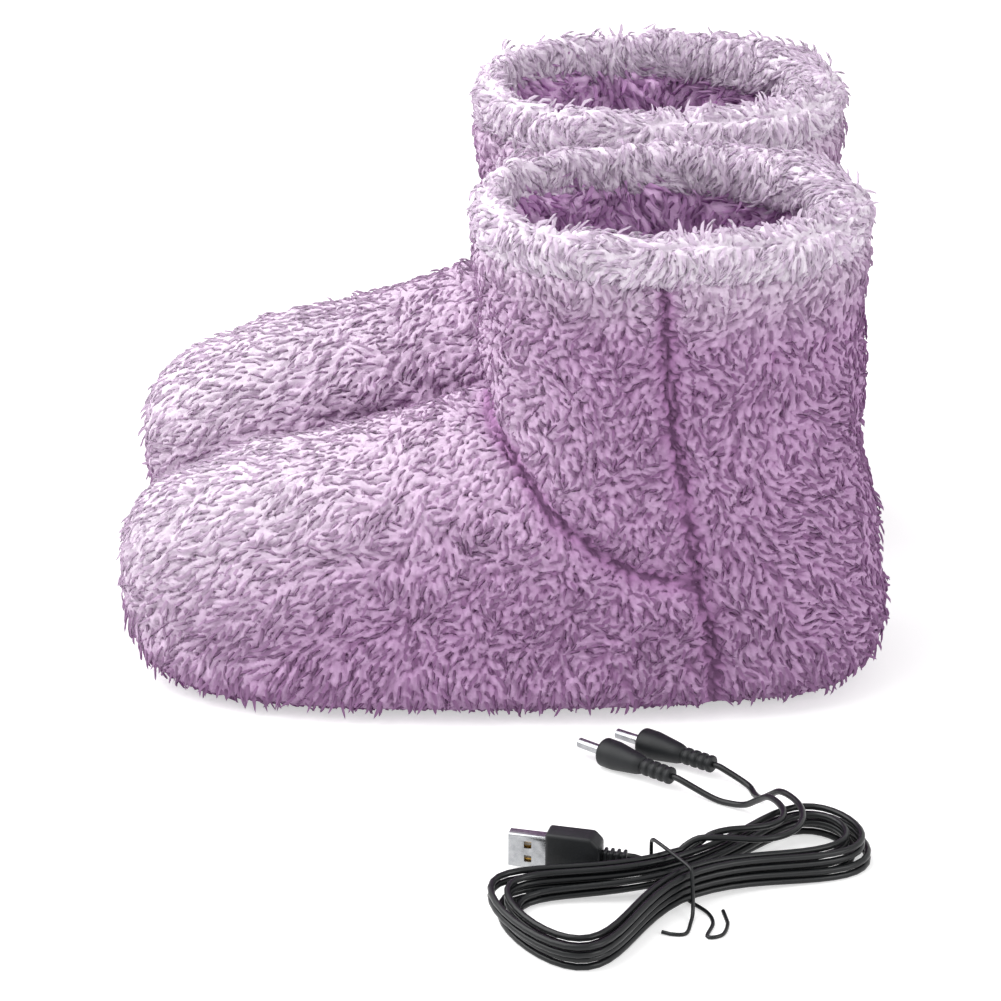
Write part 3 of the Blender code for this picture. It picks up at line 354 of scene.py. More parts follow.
def add_node(tree, kind, inputs=None, **settings):
    """Adds a node with its settings and its inputs, each a plain value or the output that feeds it."""
    node = tree.nodes.new(kind)
    for name, value in settings.items():
        setattr(node, name, value)
    for socket, value in (inputs or {}).items():
        if isinstance(value, bpy.types.NodeSocket):
            tree.links.new(value, node.inputs[socket])
        else:
            node.inputs[socket].default_value = value
    return node


def calculated(tree, operation, first, second):
    """What a maths node makes of two numbers or outputs."""
    return add_node(tree, "ShaderNodeMath", {0: first, 1: second}, operation=operation).outputs[0]


def stored(tree, name, output="Fac"):
    """A number or a vector that is stored on the mesh."""
    return add_node(tree, "ShaderNodeAttribute", attribute_name=name).outputs[output]


def own_place(tree):
    return add_node(tree, "ShaderNodeTexCoord").outputs["Object"]


def new_finish(name, colour, roughness, metallic=0.0, **more):
    """A material with its shader's plain values set; returns it with its node tree and shader."""
    made = bpy.data.materials.new(name)
    made.use_nodes = True
    tree = made.node_tree
    shader = tree.nodes["Principled BSDF"]
    values = {"Base Color": (*colour, 1.0), "Roughness": roughness, "Metallic": metallic}
    for socket, value in {**values, **more}.items():
        shader.inputs[socket].default_value = value
    return made, tree, shader


def ramp(tree, source, stops):
    """A colour ramp from (place, colour) stops."""
    node = add_node(tree, "ShaderNodeValToRGB", {"Fac": source})
    elements = node.color_ramp.elements
    while len(elements) < len(stops):
        elements.new(0.5)
    for element, (place, colour) in zip(elements, stops):
        element.position = place
        element.color = (*colour, 1.0)
    return node.outputs["Color"]


def tint(tree, shader, source, dark, light, low=0.3, high=0.7):
    """Colours the shader from one sRGB hex colour to the other as the source rises."""
    stops = ((low, linear(dark)), (high, linear(light)))
    tree.links.new(ramp(tree, source, stops), shader.inputs["Base Color"])


def vary_gloss(tree, shader, source, low, high):
    """Varies the shader's roughness between two values."""
    level = add_node(tree, "ShaderNodeMapRange", {"To Min": low, "To Max": high, "Value": source})
    tree.links.new(level.outputs["Result"], shader.inputs["Roughness"])


def surface_noise(tree, size, detail=2.0, roughness=0.5):
    """Noise on the object's own coordinates whose grains are about the given size."""
    inputs = {"Vector": own_place(tree), "Scale": 1.0 / size, "Detail": detail, "Roughness": roughness}
    return add_node(tree, "ShaderNodeTexNoise", inputs).outputs["Fac"]


def bump(tree, shader, source, distance, strength=1.0):
    node = add_node(tree, "ShaderNodeBump", {"Strength": strength, "Distance": distance, "Height": source})
    tree.links.new(node.outputs["Normal"], shader.inputs["Normal"])


def pile_finish(name, root, body, tip, mottle, highlight_share=0.0):
    """Polyester sherpa: matt curls with a soft pale sheen. Painted shade darkens the pile between them, and
    the ends are lighter partly in their own colour and partly as painted highlight.
    """
    made, tree, shader = new_finish(
        name, body, 0.92,
        **{
            "Specular IOR Level": 0.1, "Sheen Weight": 0.12, "Sheen Roughness": 0.4,
            "Sheen Tint": (*body, 1.0),
        },
    )
    # Painted shade by height in the pile: gap darkens the seams' partings and the insole's cloth between its
    # curls,
    # The tip colour is partly the pile's own lighter ends and partly painted highlight.
    # and root the hollows between locks and curls.
    gap = [0.5 * c for c in root]
    blend = [0.5 * (a + b) for a, b in zip(root, body)]
    stops = ((0.0, gap), (0.16, root), (0.34, blend), (0.58, body), (0.97, tip))
    colours = ramp(tree, stored(tree, "tip"), stops)
    # Painted highlight: the colour turns almost white where the cloth faces the key light: on the toe cap,
    # the ridges and the rim.
    highlighted = add_node(tree, "ShaderNodeMix", data_type="RGBA")
    tree.links.new(calculated(tree, "MULTIPLY", stored(tree, "pale"), highlight_share), highlighted.inputs[0])
    tree.links.new(colours, highlighted.inputs[6])
    highlighted.inputs[7].default_value = (*bpy.context.scene.foot_warmer_colours.pale, 1.0)
    # Each curl is a little lighter or darker than the next, and broad patches differ as dyed pile does.
    spread = calculated(tree, "MULTIPLY", stored(tree, "shade"), 0.55)
    level = add_node(
        tree, "ShaderNodeMapRange",
        {
            "Value": calculated(tree, "ADD", spread, surface_noise(tree, 0.022, 3.0)), "From Min": 0.3,
            "From Max": 1.25, "To Min": 1.0 - mottle, "To Max": 1.0 + mottle,
        },
    ).outputs["Result"]
    dyed = add_node(tree, "ShaderNodeHueSaturation", {"Color": highlighted.outputs[2], "Value": level})
    tree.links.new(dyed.outputs["Color"], shader.inputs["Base Color"])
    # Fibres are far finer than a pixel, so they are drawn as streaks along each lock and a fine grain.
    fibres = {"Vector": stored(tree, "fibre", "Vector"), "Scale": 1.0, "Detail": 2.0}
    streaks = add_node(tree, "ShaderNodeTexNoise", fibres).outputs["Fac"]
    grain = surface_noise(tree, 0.0006, 2.0, 0.6)
    bump(tree, shader, calculated(tree, "ADD", streaks, grain), 0.0006, 0.45)
    # Light passes through the loose curls, so that their undersides stay pale.
    share = calculated(tree, "MULTIPLY", stored(tree, "loose"), 0.6)
    through = add_node(tree, "ShaderNodeBsdfTranslucent", {"Color": dyed.outputs["Color"]}).outputs[0]
    mixed = add_node(tree, "ShaderNodeMixShader", {0: share, 1: shader.outputs[0], 2: through})
    tree.links.new(mixed.outputs[0], tree.nodes["Material Output"].inputs["Surface"])
    return made


def finish(name):
    """The finish of that name, made the first time that it is asked for."""
    return bpy.data.materials.get(name) or finish_makers[name]()


def sherpa():
    """Lilac sherpa of foot and shaft, with painted highlight wherever the cloth faces the key light."""
    c = bpy.context.scene.foot_warmer_colours
    return pile_finish("lilac_sherpa", c.pile_root, c.pile_body, c.pile_tip, 0.07, 0.75)


def rim_sherpa():
    """The rim's sherpa: almost white all over, and painted highlight over most of it."""
    c = bpy.context.scene.foot_warmer_colours
    return pile_finish("pale_lilac_sherpa", c.rim_root, c.rim_body, c.rim_tip, 0.05, 0.75)


def lining_fleece():
    """The lining's sherpa: darker mauve and more uneven, without painted highlight."""
    c = bpy.context.scene.foot_warmer_colours
    return pile_finish("mauve_lining_sherpa", c.lining_root, c.lining_body, c.lining_tip, 0.12)


def grip_fabric():
    """Brushed polyester sole cloth: matt, with a fine twill about 0.8 mm apart."""
    colour = bpy.context.scene.foot_warmer_colours.sole
    made, tree, shader = new_finish("brushed_grip_fabric", colour, 0.9)
    rows = add_node(
        tree, "ShaderNodeTexWave",
        {"Vector": own_place(tree), "Scale": 200.0, "Distortion": 1.5, "Detail": 2.0},
        bands_direction="DIAGONAL",
    ).outputs["Fac"]
    stops = ((0.2, [0.7 * c for c in colour]), (0.8, colour))
    tree.links.new(ramp(tree, rows, stops), shader.inputs["Base Color"])
    bump(tree, shader, rows, 0.0002)
    return made


def dotted_pvc():
    """PVC dots printed on the sole cloth: rubbery, satin, scuffed in places."""
    made, tree, shader = new_finish("soft_pvc_dots", linear("4A3E50"), 0.5)
    vary_gloss(tree, shader, surface_noise(tree, 0.004, 4.0), 0.42, 0.7)
    return made


def foam():
    """Closed-cell EVA foam: off-white and matt, with pores of about 0.6 mm."""
    made, tree, shader = new_finish("eva_foam", linear("D9D6D0"), 0.85)
    cells = add_node(tree, "ShaderNodeTexVoronoi", {"Vector": own_place(tree), "Scale": 1600.0})
    bump(tree, shader, cells.outputs["Distance"], 0.0002, 0.5)
    tint(tree, shader, surface_noise(tree, 0.012), "CFCBC3", "E0DDD8")
    return made


def felt():
    """Needle felt: grey-white, fuzzy, with tangled fibres drawn about 0.5 mm wide."""
    made, tree, shader = new_finish("needle_felt", linear("CDC9C4"), 0.95, **{"Sheen Weight": 0.4})
    fibres = surface_noise(tree, 0.0005, 6.0, 0.7)
    tint(tree, shader, fibres, "B7B2AC", "DAD7D3")
    bump(tree, shader, fibres, 0.0004, 0.8)
    return made


def silicone_wire():
    """Heating wire in red silicone rubber: satin, faintly dusty."""
    made, tree, shader = new_finish("red_silicone_rubber", linear("A8392B"), 0.5)
    tint(tree, shader, surface_noise(tree, 0.003, 3.0), "9C3226", "B54A3B", 0.4, 0.75)
    return made


def lead_pvc():
    """Soft PVC over the wires: black with a soft gloss and faint extrusion ripples."""
    lead = bpy.context.scene.foot_warmer_colours.lead
    made, tree, shader = new_finish("soft_black_pvc", lead, 0.34, **{"Specular IOR Level": 0.35})
    ripples = surface_noise(tree, 0.0014, 3.0)
    vary_gloss(tree, shader, ripples, 0.22, 0.40)
    bump(tree, shader, ripples, 0.0001, 0.5)
    return made


def grip_pvc():
    """Moulded PVC of the plug grips: a spark-eroded mould leaves a fine even grain."""
    lead = bpy.context.scene.foot_warmer_colours.lead
    made, tree, shader = new_finish("moulded_black_pvc", lead, 0.48, **{"Specular IOR Level": 0.35})
    tint(tree, shader, surface_noise(tree, 0.006), "101214", "181A1D")
    bump(tree, shader, surface_noise(tree, 0.0005), 0.00008, 0.6)
    return made


def black_nylon():
    """Injection-moulded nylon: near black, satin, with fine flow marks."""
    made, tree, shader = new_finish("black_nylon", linear("1E2023"), 0.42)
    flow = surface_noise(tree, 0.0012, 3.0)
    vary_gloss(tree, shader, flow, 0.34, 0.52)
    bump(tree, shader, flow, 0.00005, 0.4)
    return made


def white_nylon():
    """White moulded nylon of the plug's tongue: satin, faintly uneven."""
    made, tree, shader = new_finish("white_nylon", linear("E4E3DE"), 0.42)
    tint(tree, shader, surface_noise(tree, 0.002, 3.0), "DAD8D2", "ECEBE7")
    return made


def nickel():
    """Nickel-plated steel, stamped and rolled: bright, brushed along the plug, with light handling marks."""
    made, tree, shader = new_finish("nickel_plated_steel", linear("CFD0D2"), 0.24, 1.0)
    turned_place = add_node(
        tree, "ShaderNodeMapping",
        {"Vector": own_place(tree), "Rotation": (0.0, 0.0, -usb_turn), "Scale": (60.0, 2500.0, 2500.0)},
    ).outputs["Vector"]
    strokes = add_node(tree, "ShaderNodeTexNoise", {"Vector": turned_place, "Scale": 1.0, "Detail": 3.0})
    vary_gloss(tree, shader, strokes.outputs["Fac"], 0.16, 0.36)
    tint(tree, shader, surface_noise(tree, 0.003, 3.0), "96989B", "B4B5B7")
    return made


def gilt():
    """Thin gold plating on the contacts: bright, a little streaked by wiping."""
    made, tree, shader = new_finish("gold_flash_plating", linear("E0B25A"), 0.26, 1.0)
    vary_gloss(tree, shader, surface_noise(tree, 0.0006, 3.0), 0.2, 0.38)
    return made


finish_makers = {
    "lilac_sherpa": sherpa,
    "pale_lilac_sherpa": rim_sherpa,
    "mauve_lining_sherpa": lining_fleece,
    "brushed_grip_fabric": grip_fabric,
    "soft_pvc_dots": dotted_pvc,
    "eva_foam": foam,
    "needle_felt": felt,
    "red_silicone_rubber": silicone_wire,
    "soft_black_pvc": lead_pvc,
    "moulded_black_pvc": grip_pvc,
    "black_nylon": black_nylon,
    "white_nylon": white_nylon,
    "nickel_plated_steel": nickel,
    "gold_flash_plating": gilt,
}


def spline_samples(rows, count):
    """A Catmull-Rom curve through the rows, read at even steps of the row number."""
    rows = np.asarray(rows, float)
    padded = np.vstack((2 * rows[0] - rows[1], rows, 2 * rows[-1] - rows[-2]))
    found = []
    for at in np.linspace(0, len(rows) - 1, count):
        i = min(int(at), len(rows) - 2)
        t = at - i
        a, b, c, d = padded[i : i + 4]
        bend = (2 * a - 5 * b + 4 * c - d) * t**2 + (3 * b - a - 3 * c + d) * t**3
        found.append(0.5 * (2 * b + (c - a) * t + bend))
    return np.array(found)


def smooth_step(low, high, values):
    """0 at low and 1 at high, with an easy start and end."""
    share = np.clip((np.asarray(values, float) - low) / (high - low), 0.0, 1.0)
    return share * share * (3.0 - 2.0 * share)


def bell(distance, width):
    """1 on a line, falling off smoothly with the distance from it."""
    return np.exp(-((distance / width) ** 2))


def squarish(value, power):
    """A coordinate on the unit circle, moved towards a square's."""
    return math.copysign(abs(value) ** power, value)


def lumps(points, size, height):
    """Soft lumps about the given size across, from slow noise."""
    return height * np.array([noise.noise(Vector(p) / size) for p in points])


def toe_drift(lean, along):
    """How far the boot's middle line has moved sideways at places along the foot."""
    return lean * np.maximum(-2.0 * along / foot_length, 0.0) ** 2


def line_distance(line, points):
    """Distance of each side-view point from a line, and the unit direction away from it."""
    line = np.asarray(line, float)
    best = np.full(len(points), 1e9)
    away = np.zeros((len(points), 2))
    for start, end in zip(line, line[1:]):
        edge = end - start
        share = np.clip(((points - start) @ edge) / (edge @ edge), 0.0, 1.0)
        offset = points - (start + share[:, None] * edge)
        distance = np.linalg.norm(offset, axis=1)
        nearer = distance < best
        best[nearer] = distance[nearer]
        away[nearer] = offset[nearer] / np.maximum(distance[nearer], 1e-6)[:, None]
    return best, away


class Last:
    """The foot form that one boot's cloth follows; depth moves its surface inwards."""

    def __init__(self, lean, rows=cloth_rows):
        self.lean, self.rows = lean, rows
        fine = spline_samples(rib_shares, 40 * len(rib_shares))
        front, back = self.line(fine[:, 0:3]), self.line(fine[:, 3:6])
        lines = (front, back, 0.5 * (front + back))
        steps = np.max([np.linalg.norm(np.diff(line, axis=0), axis=1) for line in lines], axis=0)
        along = np.concatenate(([0.0], np.cumsum(steps)))
        marks = np.linspace(0.0, along[-1], rows + 1)
        found = np.stack([np.interp(marks, along, column) for column in fine.T], axis=1)
        self.front = self.line(found[:, 0:3])
        self.back = self.line(found[:, 3:6])
        self.width, self.widest, self.corners = found[:, 6] * foot_half_width, found[:, 7], found[:, 8]
        self.front_in = self.inward(self.front, self.back)
        self.back_in = self.inward(self.back, self.front)

    @staticmethod
    def line(shares):
        along = (shares[:, 0] - 0.5) * foot_length
        return np.stack((along, shares[:, 1] * instep_height + shares[:, 2] * shaft_rise), axis=1)

    @staticmethod
    def inward(line, other):
        """Unit normals of a profile line in side view, towards the other line."""
        tangent = np.gradient(line, axis=0)
        normal = np.stack((-tangent[:, 1], tangent[:, 0]), axis=1)
        normal /= np.linalg.norm(normal, axis=1, keepdims=True)
        facing = np.sign(np.sum(normal * (other - line), axis=1, keepdims=True))
        normal *= np.where(facing == 0, 1.0, facing)
        normal[0] = (1.0, 0.0)
        normal[-1, 1] = 0.0
        return normal

    def ring(self, rib, angles, depth=0.0):
        """Points of one rib at the angles, from the heel's middle round by the boot's +Y side."""
        front = self.front[rib] + depth * self.front_in[rib]
        back = self.back[rib] + depth * self.back_in[rib]
        width = self.width[rib] - depth * math.sqrt(max(self.width[rib], 0.0) / foot_half_width)
        middle = back + (front - back) * self.widest[rib]
        reach, side = np.cos(angles), np.sin(angles)
        behind = reach > 0
        power = np.where(behind, 2.0 / self.corners[rib], 2.0 / front_roundness)
        end = np.where(behind[:, None], back, front)
        x, z = (middle + (end - middle) * (np.abs(reach) ** power)[:, None]).T
        y = np.sign(side) * np.abs(side) ** power * width
        return np.stack((x, y + toe_drift(self.lean, x), np.maximum(z, depth)), axis=1)

    def even_angles(self, rib, columns):
        """Angles that part the rib into columns of the same width."""
        near_side = np.linspace(0.0, 0.3, 60)
        behind = np.arccos(near_side ** (0.5 * self.corners[rib]))
        before = np.pi - np.arccos(near_side ** (0.5 * front_roundness))
        half = np.unique(np.concatenate((np.linspace(0.0, np.pi, 300), behind, before)))
        fine = np.concatenate((half, 2 * np.pi - half[-2::-1]))
        steps = np.linalg.norm(np.diff(self.ring(rib, fine), axis=0), axis=1)
        along = np.concatenate(([0.0], np.cumsum(steps)))
        return np.interp(np.linspace(0.0, along[-1], columns + 1), along, fine)


def side_view(shares):
    return [((x - 0.5) * foot_length, z * instep_height) for x, z in shares]


def seam_distance(points):
    """Distances of cloth points from the side seam and the vamp's, and the way out of the nearer one."""
    flat = points[:, (0, 2)]
    side, side_away = line_distance(side_view(side_seam_shares), flat)
    vamp, vamp_away = line_distance(side_view(vamp_seam_shares), flat)
    away = np.where((side < vamp)[:, None], side_away, vamp_away)
    return side, vamp, np.stack((away[:, 0], np.zeros(len(away)), away[:, 1]), axis=1)


def cloth_relief(points):
    """How far the cloth stands out from the last: soft lumps, with grooves at seams and creases."""
    height = points[:, 2]
    side, vamp, _ = seam_distance(points)
    rise = lumps(points, lump_size, lump_height)
    rise -= side_groove_depth * bell(side, side_groove_width)
    rise -= vamp_groove_depth * bell(vamp, vamp_groove_width)
    rise += vamp_swell_height * bell(vamp - vamp_swell_offset, vamp_swell_width)
    for line in crease_lines:
        distance, _ = line_distance(line, points[:, (0, 2)])
        rise -= crease_depth * bell(distance, crease_width)
    rise += cuff_swell * smooth_step(*cuff_band, height) - cuff_tuck * smooth_step(*tuck_band, height)
    return rise * smooth_step(*ground_band, height)


def packed_locks(points, normals, comb, lengths, widths, spacing, seed):
    """Lays locks of pile over a cloth like shingles, each from its root along the comb.

    Returns for each place the height of the uppermost lock from 0 to 1, that lock's own shade, and the place
    within it: along it, across it and a number of its own, scaled for the fibres that the shader draws.
    """
    lengths, widths = np.broadcast_to(lengths, len(points)), np.broadcast_to(widths, len(points))
    random = np.random.default_rng(seed)
    order = random.permutation(len(points))
    cells = np.floor(points[order] / spacing).astype(int)
    roots = order[np.unique(cells, axis=0, return_index=True)[1]]
    tree = kdtree.KDTree(len(points))
    for i, point in enumerate(points):
        tree.insert(point, i)
    tree.balance()

    # Each lock's length and way over the cloth
    size = lengths[roots] * random.uniform(0.75, 1.3, len(roots))
    across = np.cross(normals[roots], comb[roots])
    turn = random.uniform(-0.35, 0.35, len(roots))[:, None]
    laid = np.cos(turn) * comb[roots] + np.sin(turn) * across
    across = np.cross(normals[roots], laid)

    # Every pair of a lock and a place that it may cover, with the place seen from the lock
    pairs = []
    for number, (place, reach) in enumerate(zip(points[roots] + 0.5 * size[:, None] * laid, size)):
        pairs.extend((number, vertex) for _, vertex, _ in tree.find_range(place, 0.58 * reach))
    lock, vertex = np.array(pairs).T
    offset = points[vertex] - points[roots[lock]]
    along = np.sum(offset * laid[lock], axis=1) / size[lock]
    bow = random.uniform(-1.6, 1.6, len(roots))[lock]
    wide = (random.uniform(0.75, 1.25, len(roots)) * widths[roots])[lock]
    side = np.sum(offset * across[lock], axis=1) / (0.5 * wide) + bow * ((along - 0.5) ** 2 - 0.12)

    # A lock rises along its length, is round across it and ends in a blunt tip
    room = np.clip(1.0 - np.abs(2.0 * along - 1.0) ** 3, 0.001, None)
    roundness = np.sqrt(np.clip(1.0 - (side / room) ** 2, 0.0, None))
    lift = random.uniform(0.0, 0.28, len(roots))[lock]
    height = (0.22 + 0.50 * along + lift) * roundness * (1.0 - np.clip(along, 0.0, 1.0) ** 7)
    height[(along < 0.0) | (along > 1.0)] = 0.0
    rising = np.argsort(height, kind="stable")
    top = np.zeros(len(points), int)
    top[vertex[rising]] = rising
    shade = random.uniform(0.0, 1.0, len(roots))
    fibre_length, fibre_width, lock_step = 0.0028, 0.0009, 7.3
    fibres = (along * size[lock] / fibre_length, side * wide / fibre_width, lock_step * lock)
    return height[top], shade[lock[top]], np.stack(fibres, axis=1)[top]


def raise_locks(bm, normals, height, shade, fibres, rise, light=1.0):
    """Lifts the cloth into its locks, and stores what the shader and the curls on them need."""
    middle_height = 0.45
    shift(bm, normals, (height - middle_height) * rise)
    # Stored tip: painted shade and highlight by height in the locks; light below 1 adds painted shade.
    set_fields(bm, tip=(0.22 + 0.70 * height) * light, shade=shade, fibre=fibres)


def region_of(points):
    """0 toe, 1 instep, 2 front of the shaft and 3 heel, by where a point lies in side view."""
    side, vamp = np.array(side_view(side_seam_shares)), np.array(side_view(vamp_seam_shares))[::-1]
    side_x = np.interp(points[:, 2], side[:, 1], side[:, 0])
    vamp_z = np.interp(points[:, 0], vamp[:, 0], vamp[:, 1])
    found = np.where(points[:, 0] < (vamp_split_share - 0.5) * foot_length, 0, 1)
    found = np.where(points[:, 2] > vamp_z, 2, found)
    return np.where(points[:, 0] > side_x, 3, found)


def sole_half_width(along):
    """The sole's half-width at places along the foot."""
    shares = np.array(sole_shares)
    return foot_half_width * np.interp(along / foot_length + 0.5, *shares.T, left=0.0, right=0.0)


def inside_sole(points, lean):
    """How far places lie inside the sole's edge, seen from below."""
    return sole_half_width(points[:, 0]) - np.abs(points[:, 1] - toe_drift(lean, points[:, 0]))


def places_of(bm):
    """The vertices' places and normals as arrays."""
    bm.normal_update()
    return np.array([v.co for v in bm.verts]), np.array([v.normal for v in bm.verts])


def centres_of(faces):
    return np.array([f.calc_center_median() for f in faces])


def shift(bm, normals, steps):
    """Moves each vertex along its normal by its own step."""
    for vert, normal, step in zip(bm.verts, normals, steps):
        vert.co += Vector(normal) * step


def set_fields(bm, **fields):
    """Stores a number or a vector on each vertex under each name; one number counts for them all."""
    for name, values in fields.items():
        values = np.asarray(values, float)
        if values.ndim == 0:
            values = np.full(len(bm.verts), values)
        single = values.ndim == 1
        layers = bm.verts.layers.float if single else bm.verts.layers.float_vector
        layer = layers.get(name) or layers.new(name)
        for vert, value in zip(bm.verts, values):
            vert[layer] = value if single else Vector(value)


def last_sheet(last, depth, columns=cloth_columns):
    """Quads over the last at a depth, with columns round it and a row at each rib."""
    bm = bmesh.new()
    bmesh.ops.create_grid(bm, x_segments=columns, y_segments=last.rows, size=0.5)
    places = [last.ring(rib, last.even_angles(rib, columns), depth) for rib in range(last.rows + 1)]
    for vert in bm.verts:
        rib, column = round((vert.co.y + 0.5) * last.rows), round((vert.co.x + 0.5) * columns)
        vert.co = places[rib][column]
    bmesh.ops.remove_doubles(bm, verts=bm.verts, dist=merge_distance)
    bmesh.ops.dissolve_degenerate(bm, edges=bm.edges, dist=merge_distance)
    bmesh.ops.recalc_face_normals(bm, faces=bm.faces)
    face_out(bm)
    return bm


def face_out(bm):
    """Turns all faces over if they look towards the boot's middle line."""
    bm.normal_update()
    middle_height = 0.05
    total = 0.0
    for face in bm.faces:
        centre = face.calc_center_median()
        total += face.normal.dot(centre - Vector((centre.x, 0.0, middle_height)))
    if total < 0:
        bmesh.ops.reverse_faces(bm, faces=bm.faces)


def swirled(direction, normals, points, size, most_turn):
    """The directions laid in the surface and turned there by slow noise, as pile falls."""
    flat = direction - normals * np.sum(direction * normals, axis=1, keepdims=True)
    flat /= np.maximum(np.linalg.norm(flat, axis=1, keepdims=True), 1e-6)
    turn = most_turn * np.array([noise.noise(Vector(p) / size + Vector((3.1, 7.7, 1.3))) for p in points])
    across = np.cross(normals, flat)
    return np.cos(turn)[:, None] * flat + np.sin(turn)[:, None] * across


def object_of(name, bm, *finish_names):
    mesh = bpy.data.meshes.new(name)
    bm.to_mesh(mesh)
    bm.free()
    obj = bpy.data.objects.new(name, mesh)
    bpy.context.scene.collection.objects.link(obj)
    for finish_name in finish_names:
        mesh.materials.append(finish(finish_name))
    return obj


def shade_smooth(obj, angle=40.0):
    obj.data.shade_smooth()
    obj.data.set_sharp_from_angle(angle=math.radians(angle))
    return obj


def baked(obj):
    """Applies the object's modifiers to its mesh."""
    bpy.context.view_layer.update()
    graph = bpy.context.evaluated_depsgraph_get()
    done = obj.evaluated_get(graph)
    mesh = bpy.data.meshes.new_from_object(done, preserve_all_data_layers=True, depsgraph=graph)
    mesh.name = obj.name
    obj.modifiers.clear()
    obj.data = mesh


def curl(name, bend, sway, twist, thin):
    """One curl of pile, a unit long: a flat three-sided lock that bows over towards +X, with a point."""
    stations = (0.0, 0.36, 0.74, 1.0)
    widths = (0.75, 1.0, 0.70)
    bm = bmesh.new()
    tip = bm.verts.layers.float.new("tip")
    radius = 0.5 * curl_unit_width * widths[0]
    verts = bmesh.ops.create_circle(bm, cap_ends=True, segments=3, radius=radius)["verts"]
    bmesh.ops.scale(bm, vec=(thin, 1.0, 1.0), verts=verts)
    edges = edges_of(verts)
    centre = Vector((0.0, 0.0, 0.0))
    angle = 0.0
    for i in range(1, len(stations)):
        before, here = stations[i - 1], stations[i]
        step = here - before
        turn = bend * (here**1.3 - before**1.3)
        made = bmesh.ops.extrude_edge_only(bm, edges=edges)["geom"]
        verts = [g for g in made if isinstance(g, bmesh.types.BMVert)]
        edges = [g for g in made if isinstance(g, bmesh.types.BMEdge) and all(v in verts for v in g.verts)]
        angle += turn
        axis = Vector((math.sin(angle), 0.0, math.cos(angle)))
        side = sway * (math.sin(2.6 * here) - math.sin(2.6 * before))
        move = Vector((math.sin(angle) * step, side, math.cos(angle) * step))
        bmesh.ops.rotate(bm, cent=centre, matrix=Matrix.Rotation(turn, 3, "Y"), verts=verts)
        bmesh.ops.translate(bm, vec=move, verts=verts)
        centre = centre + move
        for vert in verts:
            vert[tip] = here
        if i == len(widths):
            bmesh.ops.pointmerge(bm, verts=verts, merge_co=centre)
            break
        share = widths[i] / widths[i - 1]
        bmesh.ops.scale(bm, vec=(share, share, share), space=Matrix.Translation(-centre), verts=verts)
        bmesh.ops.rotate(bm, cent=centre, matrix=Matrix.Rotation(twist * step, 3, axis), verts=verts)
    bmesh.ops.recalc_face_normals(bm, faces=bm.faces)
    obj = object_of(name, bm)
    obj.data.shade_smooth()
    return obj


def curl_collection():
    """The kinds of curl that the pile is scattered from, in a collection that isn't shown."""
    held = bpy.data.collections.new("curl kinds")
    kinds = (
        (0.6, 0.06, 1.2, 0.60), (1.05, -0.10, -1.6, 0.55), (1.5, 0.12, 2.0, 0.65),
        (2.0, -0.08, -2.4, 0.60), (2.6, 0.14, 2.2, 0.70),
    )
    for i, shape in enumerate(kinds):
        obj = curl(f"curl_{i}", *shape)
        bpy.context.scene.collection.objects.unlink(obj)
        held.objects.link(obj)
    return held


def remove_curls(held):
    for obj in list(held.objects):
        bpy.data.objects.remove(obj, do_unlink=True)
    bpy.data.collections.remove(held)


